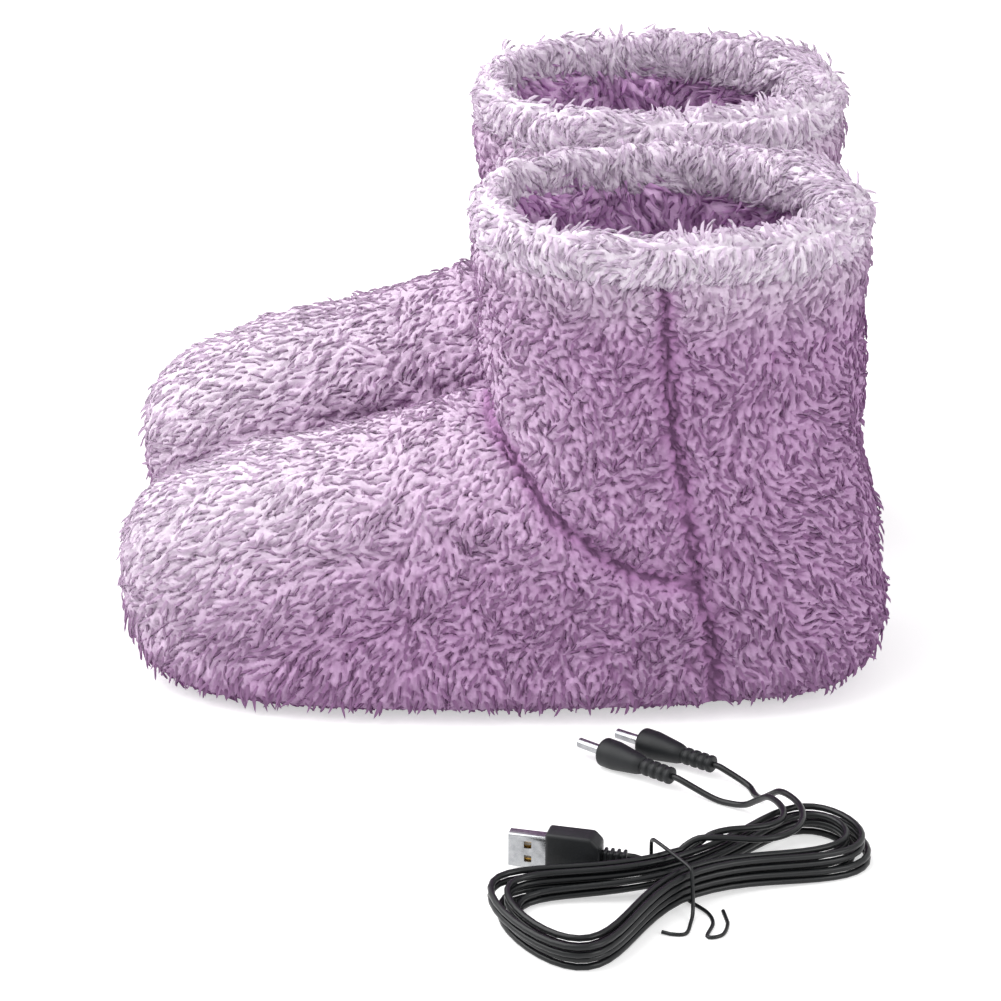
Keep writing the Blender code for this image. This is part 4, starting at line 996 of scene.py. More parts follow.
def pile_tree(held, spacing, width, seed):
    """Geometry nodes that root a curl at scattered places of a cloth and keep the cloth under them."""
    tree = bpy.data.node_groups.new("pile", "GeometryNodeTree")
    for way in ("INPUT", "OUTPUT"):
        tree.interface.new_socket(name="Geometry", in_out=way, socket_type="NodeSocketGeometry")
    cloth = add_node(tree, "NodeGroupInput").outputs[0]

    def field(name, kind="FLOAT"):
        node = add_node(tree, "GeometryNodeInputNamedAttribute", {"Name": name}, data_type=kind)
        return node.outputs["Attribute"]

    def random_number(low, high, offset):
        values = {2: low, 3: high, "Seed": seed + offset}
        return add_node(tree, "FunctionNodeRandomValue", values, data_type="FLOAT").outputs[1]

    def kept(geometry, name, value, kind="FLOAT_VECTOR", domain="POINT"):
        inputs = {"Geometry": geometry, "Name": name, "Value": value}
        node = add_node(tree, "GeometryNodeStoreNamedAttribute", inputs, data_type=kind, domain=domain)
        return node.outputs[0]

    # Roots, no two nearer than the spacing, that remember the cloth's normal and their own place
    roots = add_node(
        tree, "GeometryNodeDistributePointsOnFaces",
        {
            "Mesh": cloth, "Distance Min": spacing, "Density Max": 4.0 / (spacing * spacing),
            "Density Factor": field("cover"), "Seed": seed,
        },
        distribute_method="POISSON",
    )
    points = kept(roots.outputs["Points"], "cloth_normal", roots.outputs["Normal"])
    points = kept(points, "root_place", add_node(tree, "GeometryNodeInputPosition").outputs[0])

    # Each curl stands up, turns to the comb and leans over, with a little of its own in every angle
    upright = add_node(
        tree, "FunctionNodeAlignRotationToVector", {"Vector": roots.outputs["Normal"]}, axis="Z"
    ).outputs[0]
    combed = add_node(
        tree, "FunctionNodeAlignRotationToVector",
        {"Rotation": upright, "Vector": field("comb", "FLOAT_VECTOR")}, axis="X", pivot_axis="Z",
    ).outputs[0]
    lean = calculated(tree, "ADD", field("lean"), random_number(-0.15, 0.15, 1))
    angles = {"X": random_number(-0.15, 0.15, 2), "Y": lean, "Z": random_number(-0.4, 0.4, 3)}
    turns = add_node(tree, "ShaderNodeCombineXYZ", angles).outputs[0]
    turned_by = add_node(tree, "FunctionNodeEulerToRotation", {0: turns}).outputs[0]
    rotation = add_node(
        tree, "FunctionNodeRotateRotation", {"Rotation": combed, "Rotate By": turned_by},
        rotation_space="LOCAL",
    ).outputs[0]
    thick = random_number(0.75 * width / curl_unit_width, 1.3 * width / curl_unit_width, 4)
    long = calculated(tree, "MULTIPLY", field("reach"), random_number(0.78, 1.22, 5))
    scale = add_node(tree, "ShaderNodeCombineXYZ", {"X": thick, "Y": thick, "Z": long}).outputs[0]

    # The kind of curl, from straight to tight
    kinds = add_node(
        tree, "GeometryNodeCollectionInfo",
        {"Collection": held, "Separate Children": True, "Reset Children": True},
    ).outputs[0]
    pick = calculated(tree, "ADD", field("kind"), random_number(-0.9, 0.9, 6))
    picked = add_node(
        tree, "ShaderNodeClamp", {"Value": pick, "Min": 0.0, "Max": len(held.objects) - 1.0}
    ).outputs[0]
    grown = add_node(
        tree, "GeometryNodeInstanceOnPoints",
        {
            "Points": points, "Instance": kinds, "Pick Instance": True, "Instance Index": picked,
            "Rotation": rotation, "Scale": scale,
        },
    ).outputs[0]
    shaded = kept(grown, "shade", random_number(0.0, 1.0, 7), "FLOAT", "INSTANCE")
    real = add_node(tree, "GeometryNodeRealizeInstances", {"Geometry": shaded}).outputs[0]
    both = add_node(tree, "GeometryNodeJoinGeometry", {0: cloth})
    tree.links.new(real, both.inputs[0])
    add_node(tree, "NodeGroupOutput", {0: both.outputs[0]})
    return tree


def stored_values(mesh, name, kind="vector"):
    """What a mesh stores on each vertex under that name."""
    rows = (len(mesh.vertices), 3) if kind == "vector" else (len(mesh.vertices),)
    values = np.zeros(math.prod(rows), np.float32)
    mesh.attributes[name].data.foreach_get(kind, values)
    return values.reshape(rows)


def soften(mesh):
    """Turns the curls' shading normals partly to the cloth's, because light passes through real pile."""
    cloth = stored_values(mesh, "cloth_normal")
    own = np.zeros(cloth.size, np.float32)
    mesh.vertex_normals.foreach_get("vector", own)
    own = own.reshape(cloth.shape)
    over_root = stored_values(mesh, "position") - stored_values(mesh, "root_place")
    height_share = np.clip(np.sum(over_root * cloth, axis=1) / full_height, 0.0, 1.0)
    on_curl = np.linalg.norm(cloth, axis=1) > 0.5
    tips = stored_values(mesh, "tip", "value")
    # Curls darken towards their roots: painted shade deep in the pile.
    tips = np.where(on_curl, 0.34 + 0.26 * height_share + 0.22 * tips, tips)
    mesh.attributes["tip"].data.foreach_set("value", tips.astype(np.float32))
    mesh.attributes.new("loose", "FLOAT", "POINT").data.foreach_set("value", on_curl.astype(np.float32))
    facing = np.clip(np.sum(own * cloth, axis=1, keepdims=True) + 0.2, 0.0, 1.0)
    mixed = own + facing * soft_share / (1.0 - soft_share) * cloth
    mixed /= np.maximum(np.linalg.norm(mixed, axis=1, keepdims=True), 1e-6)
    mesh.normals_split_custom_set_from_vertices(mixed.tolist())


def grow_pile(obj, held, pile, side, number, spacing=1.0, width=1.0):
    """Grows the pile on a boot's cloth for good, spaced and sized by shares of the curls' own sizes."""
    seed = pile.seed + number + (5 if side > 0 else 0)
    modifier = obj.modifiers.new("pile", "NODES")
    modifier.node_group = pile_tree(held, spacing * pile.curl_spacing, width * pile.curl_width, seed)
    cloth_finish = obj.data.materials[0]
    baked(obj)
    mesh = obj.data
    mesh.materials.clear()
    mesh.materials.append(cloth_finish)
    soften(mesh)
    for name in ("comb", "lean", "reach", "cover", "kind", "cloth_normal", "root_place"):
        mesh.attributes.remove(mesh.attributes[name])
    places = stored_values(mesh, "position")
    places[:, 2] = np.maximum(places[:, 2], curl_floor_gap)
    mesh.vertices.foreach_set("co", places.reshape(-1))
    mesh.update()
    print(f"{obj.name}: {sum(len(p.vertices) - 2 for p in mesh.polygons)} triangles")
    return obj


def key_light_facing(normals):
    """How much each place looks up and towards the toe, the way to the key light: the share of painted
    highlight.
    """
    return smooth_step(0.10, 0.95, normals @ np.array((-0.70, -0.10, 0.70)))


def blended(base, other, share):
    """The directions, turned from base to other by each place's share."""
    share = share[:, None]
    return np.asarray(base) * (1 - share) + np.asarray(other) * share


def panel_fields(bm, pile, form):
    """Stores how pile grows on the outer cloth, whose normals without relief are the form's.

    Returns the places, their normals and the comb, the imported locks' lengths and widths, and the partings.
    """
    points, normals = places_of(bm)
    share = points[:, 0] / foot_length + 0.5
    height = points[:, 2]
    side, vamp, away = seam_distance(points)
    toe = smooth_step(0.50, 0.14, share)
    heel = smooth_step(0.70, 0.92, share) * smooth_step(*heel_band, height)
    shaft = smooth_step(*shaft_band, height) * (1 - heel)
    low = smooth_step(*low_band, height)
    parting = bell(np.minimum(side, vamp), parting_width)

    def by_zone(base, at_toe=0.0, at_heel=0.0, at_low=0.0, at_parting=0.0):
        return base + at_toe * toe + at_heel * heel + at_low * low + at_parting * parting

    # The pile falls down and towards the toe, back over the heel, and away from the seams
    fall = blended((-0.45, 0.0, -0.85), (-0.80, 0.0, -0.50), toe)
    fall = blended(fall, (0.85, 0.0, -0.40), heel)
    fall = blended(fall, (-0.15, 0.0, -1.0), shaft)
    fall = blended(fall, np.array((0.0, 0.0, -1.0)) + 0.5 * normals, low)
    fall = blended(fall / np.linalg.norm(fall, axis=1, keepdims=True), away, parting)
    calm = np.clip(by_zone(0.0, 1.0, 0.6, 1.0), 0.0, 1.0)
    comb = swirled(fall, normals, points, 0.010, 2.4 - 1.5 * calm)
    reach = pile.curl_length * by_zone(0.80, 0.20, 0.15, 0.25, -0.20)
    under = smooth_step(-0.35, -0.8, normals[:, 2])
    # Painted highlight where the cloth faces the key light, most on the toe, and on the shaft's top below the
    # rim.
    highlight_share = np.maximum(key_light_facing(form) * by_zone(0.45, 0.50), 0.6 * smooth_step(*highlight_band, height))
    set_fields(
        bm, kind=by_zone(2.3, -0.9, -0.8, -1.3), pale=highlight_share * (1.0 - parting), comb=comb,
        lean=np.radians(by_zone(52.0, 8.0, 6.0, 10.0, 8.0)), reach=reach * (1.0 - 0.45 * under),
    )
    lengths = pile.lock_length * by_zone(1.0, 0.8, 0.5, 0.5)
    widths = pile.lock_width * by_zone(1.0, -0.22, -0.15)
    return points, normals, comb, lengths, widths, parting


def boot_offset(side):
    return Vector((boot_shift, 0.5 * side * boot_spacing, 0.0))


def boot_object(name, side, bm, *finish_names):
    """An object whose form was made round the origin, moved to where its boot stands."""
    bmesh.ops.translate(bm, vec=boot_offset(side), verts=bm.verts)
    return object_of(name, bm, *finish_names)


def cloth_object(name, side, bm, finish_name):
    obj = boot_object(name, side, bm, finish_name)
    obj.data.shade_smooth()
    return obj


def upper_cloth(side_name, side, lean, pile):
    """The whole outer cloth of one boot, and the region of each face, which is -1 where none shows."""
    bm = last_sheet(Last(lean), pile.lock_depth)
    points, normals = places_of(bm)
    shift(bm, normals, cloth_relief(points))
    level = normals * (1.0, 1.0, 0.0)
    shift(bm, level, skirt_spread * smooth_step(*skirt_band, points[:, 2]))
    points, normals, comb, lengths, widths, parting = panel_fields(bm, pile, normals)
    found = packed_locks(points, normals, comb, lengths, widths, 0.8 * pile.lock_width, pile.seed + side)
    # The locks darken along the seams' partings: painted shade in the grooves.
    raise_locks(bm, normals, *found, lock_rise * smooth_step(*lock_band, points[:, 2]), 1.0 - 0.85 * parting)

    # The rim and the sole cover the cloth's edges
    centres = centres_of(bm.faces)
    regions = region_of(centres)
    under_rim = centres[:, 2] > boot_height - rim_height + 0.008
    over_sole = (centres[:, 2] < 0.012) & (inside_sole(centres, lean) > 0.002)
    regions[under_rim | over_sole] = -1

    # No curls grow on the sole's cloth or in the socket's hollow, and few in the partings
    bare = (points[:, 2] < 0.008) & (inside_sole(points, lean) > -0.001)
    low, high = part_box(f"{side_name}_power_socket")
    socket = 0.5 * (low + high) - boot_offset(side)
    from_socket = np.hypot(points[:, 1] - socket.y, points[:, 2] - socket.z)
    at_heel = points[:, 0] > 0.1
    bare |= (from_socket < socket_clear_radius) & at_heel
    set_fields(bm, cover=np.where(bare, 0.0, 1.0 - 0.8 * parting**2))
    hollow = np.exp(-((from_socket / socket_hollow_radius) ** 6)) * at_heel
    shift(bm, normals, -socket_hollow_depth * hollow)
    return bm, regions


def upper_piece(name, side, whole, left_out):
    """One panel of the outer cloth."""
    bm = whole.copy()
    bmesh.ops.delete(bm, geom=[f for f, out in zip(bm.faces, left_out) if out], context="FACES")
    return cloth_object(name, side, bm, "lilac_sherpa")


def rim_piece(side_name, side, lean, pile, held):
    """The top edge turned over to the inside, with longer and paler pile."""
    last = Last(lean)
    half = 0.5 * rim_wall - pile.lock_depth
    base, top = boot_height - rim_height, boot_height - pile.lock_depth
    sections, roundness = 56, 0.8
    bm = bmesh.new()
    bmesh.ops.create_grid(bm, x_segments=cloth_columns, y_segments=sections, size=0.5)
    angles = last.even_angles(last.rows, cloth_columns)
    for vert in bm.verts:
        turn = 2 * math.pi * (vert.co.y + 0.5)
        across, up = squarish(-math.cos(turn), roundness), squarish(math.sin(turn), roundness)
        angle = angles[round((vert.co.x + 0.5) * cloth_columns)]
        # The wall is thicker at the heel and thinner at the front.
        behind = 0.5 * rim_slack * math.cos(angle)
        depth = 0.5 * rim_wall + behind + (half + behind) * across
        place = last.ring(last.rows, np.array([angle]), depth)[0]
        vert.co = Vector((place[0], place[1], 0.5 * (base + top) + 0.5 * (top - base) * up))
    bmesh.ops.remove_doubles(bm, verts=bm.verts, dist=merge_distance)
    bmesh.ops.recalc_face_normals(bm, faces=bm.faces)
    points, normals = places_of(bm)
    inward = (points.mean(axis=0) - points) * (1.0, 1.0, 0.0)
    inward /= np.linalg.norm(inward, axis=1, keepdims=True)
    facing = np.sum(inward * normals, axis=1)
    outside, inside, crest = np.clip(-facing, 0, 1), np.clip(facing, 0, 1), np.clip(normals[:, 2], 0, 1)
    fall = np.array((0.0, 0.0, -1.0)) * (outside + inside)[:, None] + inward * (0.9 * crest)[:, None]
    comb = swirled(fall, normals, points, 0.016, 2.6)
    shift(bm, normals, lumps(points, 0.020, 0.0022))
    width = 0.85 * pile.lock_width
    found = packed_locks(points, normals, comb, 0.0085, width, width, pile.seed + 2 + side)
    raise_locks(bm, normals, *found, rim_lock_rise)
    # Painted highlight over the whole rim, fullest where it faces the key light.
    set_fields(
        bm, comb=comb, lean=np.radians(50.0 + 8.0 * outside), kind=1.7,
        reach=pile.rim_curl_length * (0.92 + 0.12 * crest - 0.1 * inside),
        cover=np.where(normals[:, 2] < -0.93, 0.0, 1.0), pale=np.maximum(key_light_facing(normals), 0.85),
    )
    obj = cloth_object(f"{side_name}_rim_cloth", side, bm, "pale_lilac_sherpa")
    return grow_pile(obj, held, pile, side, 60, 0.8, 1.1)


def lining_piece(side_name, side, lean, pile, held):
    """Fleece lining from rim to toe, with its pile towards the foot and its top under the rim."""
    depth = panel_thickness + lining_thickness - 0.0035
    bm = last_sheet(Last(lean, cloth_rows // 2), depth, cloth_columns // 2)
    bmesh.ops.reverse_faces(bm, faces=bm.faces)
    points, normals = places_of(bm)
    height = points[:, 2]
    side_line, _, _ = seam_distance(points)
    rise = 0.0030 * bell(side_line, 0.008) * smooth_step(*ridge_band, height)
    rise -= 0.0045 * smooth_step(boot_height - rim_height, boot_height - 0.5 * rim_height, height)
    shift(bm, normals, rise + lumps(points, 0.020, 0.0018))
    down = np.tile((0.0, 0.0, -1.0), (len(points), 1))
    comb = swirled(down, normals, points, 0.012, 3.2)
    width = 1.4 * pile.lock_width
    found = packed_locks(points, normals, comb, 0.0080, width, 0.85 * width, pile.seed + 5 + side)
    raise_locks(bm, normals, *found, np.where(height > 0.02, lining_lock_rise, 0.0))
    deep = smooth_step(*deep_band, height)
    seen = smooth_step(*lining_band, height) * smooth_step(0.30, 0.42, points[:, 0] / foot_length + 0.5)
    set_fields(
        bm, comb=comb, lean=math.radians(38.0), kind=2.2, reach=pile.lining_curl_length * (1.0 - 0.25 * deep),
        cover=seen * (1.0 - 0.5 * deep),
    )
    heights = centres_of(bm.faces)[:, 2]
    out = (heights >= boot_height - 0.4 * rim_height) | (heights <= 0.0195)
    bmesh.ops.delete(bm, geom=[f for f, gone in zip(bm.faces, out) if gone], context="FACES")
    obj = cloth_object(f"{side_name}_lining_cloth", side, bm, "mauve_lining_sherpa")
    return grow_pile(obj, held, pile, side, 70, 1.1, 1.4)


def sole_outline(lean, grow=0.0):
    """Closed outline of the sole, moved outwards by grow."""
    half = spline_samples(sole_shares, sole_points // 2 + 1)
    along = (half[:, 0] - 0.5) * foot_length
    wide = np.maximum(half[:, 1], 0.0) * foot_half_width
    drift = toe_drift(lean, along)
    upper = np.stack((along, drift + wide), axis=1)
    lower = np.stack((along, drift - wide), axis=1)
    points = np.vstack((lower, upper[-2:0:-1]))
    before = points - np.roll(points, 1, axis=0)
    after = np.roll(points, -1, axis=0) - points
    edge = sum(way / np.linalg.norm(way, axis=1, keepdims=True) for way in (before, after))
    normal = np.stack((edge[:, 1], -edge[:, 0]), axis=1)
    normal /= np.linalg.norm(normal, axis=1, keepdims=True)
    return points + grow * normal


def round_edges(bm, edges, size, segments):
    bmesh.ops.bevel(bm, geom=edges, offset=size, affect="EDGES", segments=segments, profile=0.5, material=-1)


def slab(lean, grow, low, high, edge, segments=3):
    """A flat layer of the sole with rounded edges."""
    bm = bmesh.new()
    ring = [bm.verts.new((x, y, low)) for x, y in sole_outline(lean, grow)]
    base = bm.faces.new(ring)
    made = bmesh.ops.extrude_face_region(bm, geom=[base])
    top = [g for g in made["geom"] if isinstance(g, bmesh.types.BMVert)]
    bmesh.ops.translate(bm, vec=(0.0, 0.0, high - low), verts=top)
    bmesh.ops.recalc_face_normals(bm, faces=bm.faces)
    rims = [e for e in bm.edges if len(e.link_faces) == 2 and e.calc_face_angle() > math.radians(60)]
    round_edges(bm, rims, edge, segments)
    return bm


def sole_piece(side_name, side, lean):
    """Grip fabric with rows of PVC dots that stand on the floor."""
    bm = slab(lean, 0.0, dot_height, dot_height + grip_cloth_thickness, 0.0007)
    cloth_faces = set(bm.faces)
    reach = int(0.5 * foot_length / dot_pitch) + 1
    toe_end, heel_end = ((end[0] - 0.5) * foot_length for end in (sole_shares[0], sole_shares[-1]))
    depth = dot_height + dot_sink
    for row in range(-2 * reach, 2 * reach + 1):
        for column in range(-8, 9):
            x = 0.5 * dot_pitch * row
            y = dot_pitch * (column + (0.5 if row % 2 else 0.0))
            drift = toe_drift(lean, np.array(x))
            room = float(sole_half_width(np.array(x - math.copysign(dot_radius, x)))) - 1.9 * dot_radius
            if abs(y) > room or not toe_end + 2.5 * dot_radius < x < heel_end - 2.5 * dot_radius:
                continue
            made = bmesh.ops.create_cone(
                bm, cap_ends=True, segments=10, radius1=0.55 * dot_radius, radius2=dot_radius, depth=depth
            )
            bmesh.ops.translate(bm, verts=made["verts"], vec=(x, y + float(drift), 0.5 * depth))
    for face in bm.faces:
        face.material_index = 0 if face in cloth_faces else 1
    obj = boot_object(f"{side_name}_sole", side, bm, "brushed_grip_fabric", "soft_pvc_dots")
    return shade_smooth(obj, 30.0)


def in_steady_order(bm):
    """The same triangles in the order of their places, because Blender's inset mixes them up in each run."""
    triangles = []
    for face in bm.faces:
        corners = [tuple(v.co) for v in face.verts]
        first = corners.index(min(corners))
        triangles.append(corners[first:] + corners[:first])
    ordered = bmesh.new()
    verts = {place: ordered.verts.new(place) for place in sorted(tuple(v.co) for v in bm.verts)}
    for corners in sorted(triangles):
        ordered.faces.new([verts[place] for place in corners])
    bm.free()
    return ordered


def insole_piece(side_name, side, lean, pile, held):
    """Foam insole with a fleece top: crowned, with its edge rolled over."""
    low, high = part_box(f"{side_name}_insole")
    bm = slab(lean, -insole_margin, low.z, low.z + insole_thickness, 0.0022, 4)

    def top_faces():
        return [f for f in bm.faces if f.normal.z > 0.9 and len(f.verts) > 8]

    bmesh.ops.inset_region(bm, faces=top_faces(), thickness=insole_roll, depth=0.0)
    crown = list({v for f in top_faces() for v in f.verts})
    bmesh.ops.translate(bm, vec=(0.0, 0.0, high.z - low.z - insole_thickness), verts=crown)
    bmesh.ops.triangulate(bm, faces=bm.faces)
    bm = in_steady_order(bm)
    points, normals = places_of(bm)
    forward = np.tile((-1.0, 0.2, 0.0), (len(points), 1))
    set_fields(
        bm, comb=swirled(forward, normals, points, 0.012, 3.0), lean=math.radians(40.0), reach=0.0042,
        kind=2.0, cover=np.where(normals[:, 2] > 0.5, 1.0, 0.0),
    )
    obj = cloth_object(f"{side_name}_insole_pad", side, bm, "mauve_lining_sherpa")
    return grow_pile(obj, held, pile, side, 80, 2.2, 1.2)


sides = (("left", -1), ("right", 1))


class UpperMaker(bpy.types.Operator):
    """Sew the outer panels of both boots and grow their pile"""

    bl_idname = "foot_warmer.upper"
    bl_label = "Plush uppers"

    def execute(self, context):
        pile = context.scene.foot_warmer_pile
        held = curl_collection()
        labels = ("toe", "instep", "shaft", "heel")
        nodes = ("vamp_panel", "vamp_panel", "shaft_front_panel", "heel_panel")
        for side_name, side in sides:
            whole, regions = upper_cloth(side_name, side, -side * toe_lean, pile)
            for region, (label, node) in enumerate(zip(labels, nodes)):
                obj = upper_piece(f"{side_name}_{label}_cloth", side, whole, regions != region)
                grow_pile(obj, held, pile, side, 10 * region)
                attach(obj, f"{side_name}_boot")
                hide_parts(f"{side_name}_{node}")
            whole.free()
        remove_curls(held)
        return {"FINISHED"}


class RimMaker(bpy.types.Operator):
    """Roll the top edges over and grow their longer pile"""

    bl_idname = "foot_warmer.rims"
    bl_label = "Rolled rims"

    def execute(self, context):
        pile = context.scene.foot_warmer_pile
        held = curl_collection()
        for side_name, side in sides:
            obj = rim_piece(side_name, side, -side * toe_lean, pile, held)
            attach(obj, f"{side_name}_boot")
            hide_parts(f"{side_name}_rim_roll")
        remove_curls(held)
        return {"FINISHED"}


class LiningMaker(bpy.types.Operator):
    """Line both boots with fleece and lay their insoles"""

    bl_idname = "foot_warmer.linings"
    bl_label = "Linings and insoles"

    def execute(self, context):
        pile = context.scene.foot_warmer_pile
        held = curl_collection()
        for side_name, side in sides:
            lining = lining_piece(side_name, side, -side * toe_lean, pile, held)
            insole = insole_piece(side_name, side, -side * toe_lean, pile, held)
            for obj, node in ((lining, "lining"), (insole, "insole")):
                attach(obj, f"{side_name}_boot")
                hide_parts(f"{side_name}_{node}")
        remove_curls(held)
        return {"FINISHED"}


class SoleMaker(bpy.types.Operator):
    """Make the dotted grip soles, the foam under the foot and the felt heating pads"""

    bl_idname = "foot_warmer.soles"
    bl_label = "Soles and heating pads"

    def execute(self, context):
        for side_name, side in sides:
            lean = -side * toe_lean
            sole = sole_piece(side_name, side, lean)
            made = [(sole, "outsole", "grip_fabric")]
            for node, grow, finish_name, slot in (
                ("midsole", 0.0, "eva_foam", "eva_foam"), ("heating_pad", -0.004, "needle_felt", "pad_felt"),
            ):
                low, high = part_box(f"{side_name}_{node}")
                layer = slab(lean, grow, low.z, high.z, 0.0006)
                obj = shade_smooth(boot_object(f"{side_name}_{node}_layer", side, layer, finish_name), 30.0)
                made.append((obj, node, slot))
            for obj, node, slot in made:
                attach(obj, f"{side_name}_boot")
                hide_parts(f"{side_name}_{node}")
        return {"FINISHED"}


def turned(profile, steps, origin, axis):
    """A solid turned about an axis from (along, radius) points that start and end on it."""
    axis = axis.normalized()
    across = axis.orthogonal().normalized()
    bm = bmesh.new()
    verts = [bm.verts.new(origin + along * axis + radius * across) for along, radius in profile]
    edges = [bm.edges.new(pair) for pair in zip(verts, verts[1:])]
    bmesh.ops.spin(
        bm, geom=verts + edges, cent=origin, axis=axis, angle=2 * math.pi, steps=steps, use_merge=True
    )
    bmesh.ops.remove_doubles(bm, verts=bm.verts, dist=merge_distance)
    bmesh.ops.recalc_face_normals(bm, faces=bm.faces)
    return bm


def rounded(profile, size, steps=3):
    """A profile whose corners are cut in short rounds of about that size; its two ends stay."""
    profile = [Vector(p) for p in profile]
    found = [profile[0]]
    for before, corner, after in zip(profile, profile[1:], profile[2:]):
        reach = min(size, 0.45 * (corner - before).length, 0.45 * (after - corner).length)
        start = corner + (before - corner).normalized() * reach
        end = corner + (after - corner).normalized() * reach
        for step in range(steps + 1):
            t = step / steps
            found.append((1 - t) ** 2 * start + 2 * t * (1 - t) * corner + t * t * end)
    found.append(profile[-1])
    return found


class SocketMaker(bpy.types.Operator):
    """Fit the barrel sockets in the heels"""

    bl_idname = "foot_warmer.sockets"
    bl_label = "Power sockets"

    def execute(self, context):
        for side_name, side in sides:
            low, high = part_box(f"{side_name}_power_socket")
            origin = Vector((high.x, 0.5 * (low.y + high.y), 0.5 * (low.z + high.z)))
            depth, bore, flange, radius, thick, length = 0.0095, 0.0019, 0.0065, 0.0045, 0.0012, 0.0125
            outline = (
                (depth, 0.0), (depth, bore), (0.0005, bore), (0.0, bore + 0.0006), (0.0, flange),
                (thick, flange), (thick, radius), (length, radius), (length, 0.0),
            )
            bm = turned(rounded(outline, 0.0004), 48, origin, Vector((-1.0, 0.0, 0.0)))
            obj = shade_smooth(object_of(f"{side_name}_barrel_socket", bm, "black_nylon"))
            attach(obj, f"{side_name}_boot")
            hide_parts(f"{side_name}_power_socket")
        return {"FINISHED"}


class Hank:
    """The wound leads: along the hank is s, across it is t, and turns count from the waist's back side."""

    def __init__(self):
        self.along = Vector((math.cos(hank_turn), math.sin(hank_turn), 0.0))
        self.across = Vector((-math.sin(hank_turn), math.cos(hank_turn), 0.0))

    def at(self, s, t, z):
        return hank_centre + s * self.along + t * self.across + Vector((0.0, 0.0, z))

    def point(self, turns, lead):
        """A place on a lead's winding: lead 0 lies under lead 1."""
        step = abs(hank_turn_count - turns)
        angle = 2 * math.pi * turns
        half_length = hank_inner_half_length + step * hank_length_step
        waist = hank_inner_waist + step * hank_waist_step
        inner_flare = hank_inner_right_flare if math.sin(angle) > 0 else hank_inner_left_flare
        flare = inner_flare + step * hank_flare_step
        s = half_length * math.sin(angle)
        t = math.cos(angle) * (waist + (flare - waist) * math.sin(angle) ** 2)
        climb_turns = 0.25
        climb = min(max((turns - hank_turn_count + climb_turns) / (2 * climb_turns), 0.0), 1.0)
        layer = lead + 2.0 * climb * climb * (3.0 - 2.0 * climb)
        z = 0.5 * lead_diameter + layer * lead_pitch + waist_lift * math.cos(angle) ** 8
        return self.at(s, t, z)

    def route(self, lead):
        total = 2 * hank_turn_count
        count = round((total - hank_start_turns) * hank_turn_points)
        step = (total - hank_start_turns) / count
        return [self.point(hank_start_turns + i * step, lead) for i in range(count + 1)]


def smooth_route(points, step):
    """Evenly spaced points on a smooth curve through a route's own points, whose two ends stay straight."""
    between = 40
    fine = spline_samples([tuple(p) for p in points], between * (len(points) - 1) + 1)[between:-between]
    lengths = np.concatenate(([0.0], np.cumsum(np.linalg.norm(np.diff(fine, axis=0), axis=1))))
    count = max(int(round(lengths[-1] / step)), 2)
    marks = np.linspace(0.0, lengths[-1], count + 1)
    middle = [Vector([np.interp(mark, lengths, fine[:, k]) for k in range(3)]) for mark in marks]
    return [points[0]] + middle + [points[-1]]


def tube(name, points, diameter, finish_name, resolution):
    """A round tube along the points, with filled ends."""
    curve = bpy.data.curves.new(name, "CURVE")
    curve.dimensions = "3D"
    curve.bevel_depth = 0.5 * diameter
    curve.bevel_resolution = resolution
    curve.use_fill_caps = True
    spline = curve.splines.new("POLY")
    spline.points.add(len(points) - 1)
    for target, point in zip(spline.points, points):
        target.co = (*point, 1.0)
    curve.materials.append(finish(finish_name))
    obj = bpy.data.objects.new(name, curve)
    bpy.context.scene.collection.objects.link(obj)
    return obj


def usb_axes():
    along = Vector((math.cos(usb_turn), math.sin(usb_turn), 0.0))
    over = Vector((0.0, 0.0, 1.0))
    return along, over, along.cross(over)


def in_usb_place(bm):
    """Moves a form from the plug's own axes (along, over, out) to where the plug lies."""
    along, over, out = usb_axes()
    place = Matrix((along, over, out)).transposed().to_4x4()
    bmesh.ops.transform(bm, matrix=Matrix.Translation(usb_tip) @ place, verts=bm.verts)
    return bm


def plug_axis(name):
    turn = plug_turns[name]
    return Vector((math.cos(turn), math.sin(turn), 0.0))


def plug_relief_end(name):
    """Where a lead enters a barrel plug."""
    end = barrel_length + plug_body_length + (plug_rib_count - 1) * plug_rib_pitch + 0.95 * plug_rib_pitch
    return plug_tips[name] + Vector((0.0, 0.0, plug_collar_radius)) + plug_axis(name) * (end + fit_gap)


def lead_route(hank, lead, name):
    """The whole way of a lead: from the USB plug through the hank to its barrel plug."""
    along, over, _ = usb_axes()
    wound = hank.route(lead)
    start = usb_tip + along * (usb_relief_end + fit_gap) + over * ((lead - 0.5) * feed_pitch)
    heading = (wound[1] - wound[0]).normalized()
    join = wound[0] - fit_gap * heading
    via = hank.at(*feed_via, 0.5 * lead_diameter + lead * feed_pitch + waist_lift)
    feed = [start, start + lead_diameter * along, via, join - lead_diameter * heading, join]
    heading = (wound[-1] - wound[-2]).normalized()
    begin = wound[-1] + fit_gap * heading
    tail = [begin, begin + lead_diameter * heading] + [hank.at(*point) for point in tail_routes[name]]
    end = plug_relief_end(name)
    tail += [end + lead_diameter * plug_axis(name), end]
    return smooth_route(feed, route_step) + wound + smooth_route(tail, route_step)


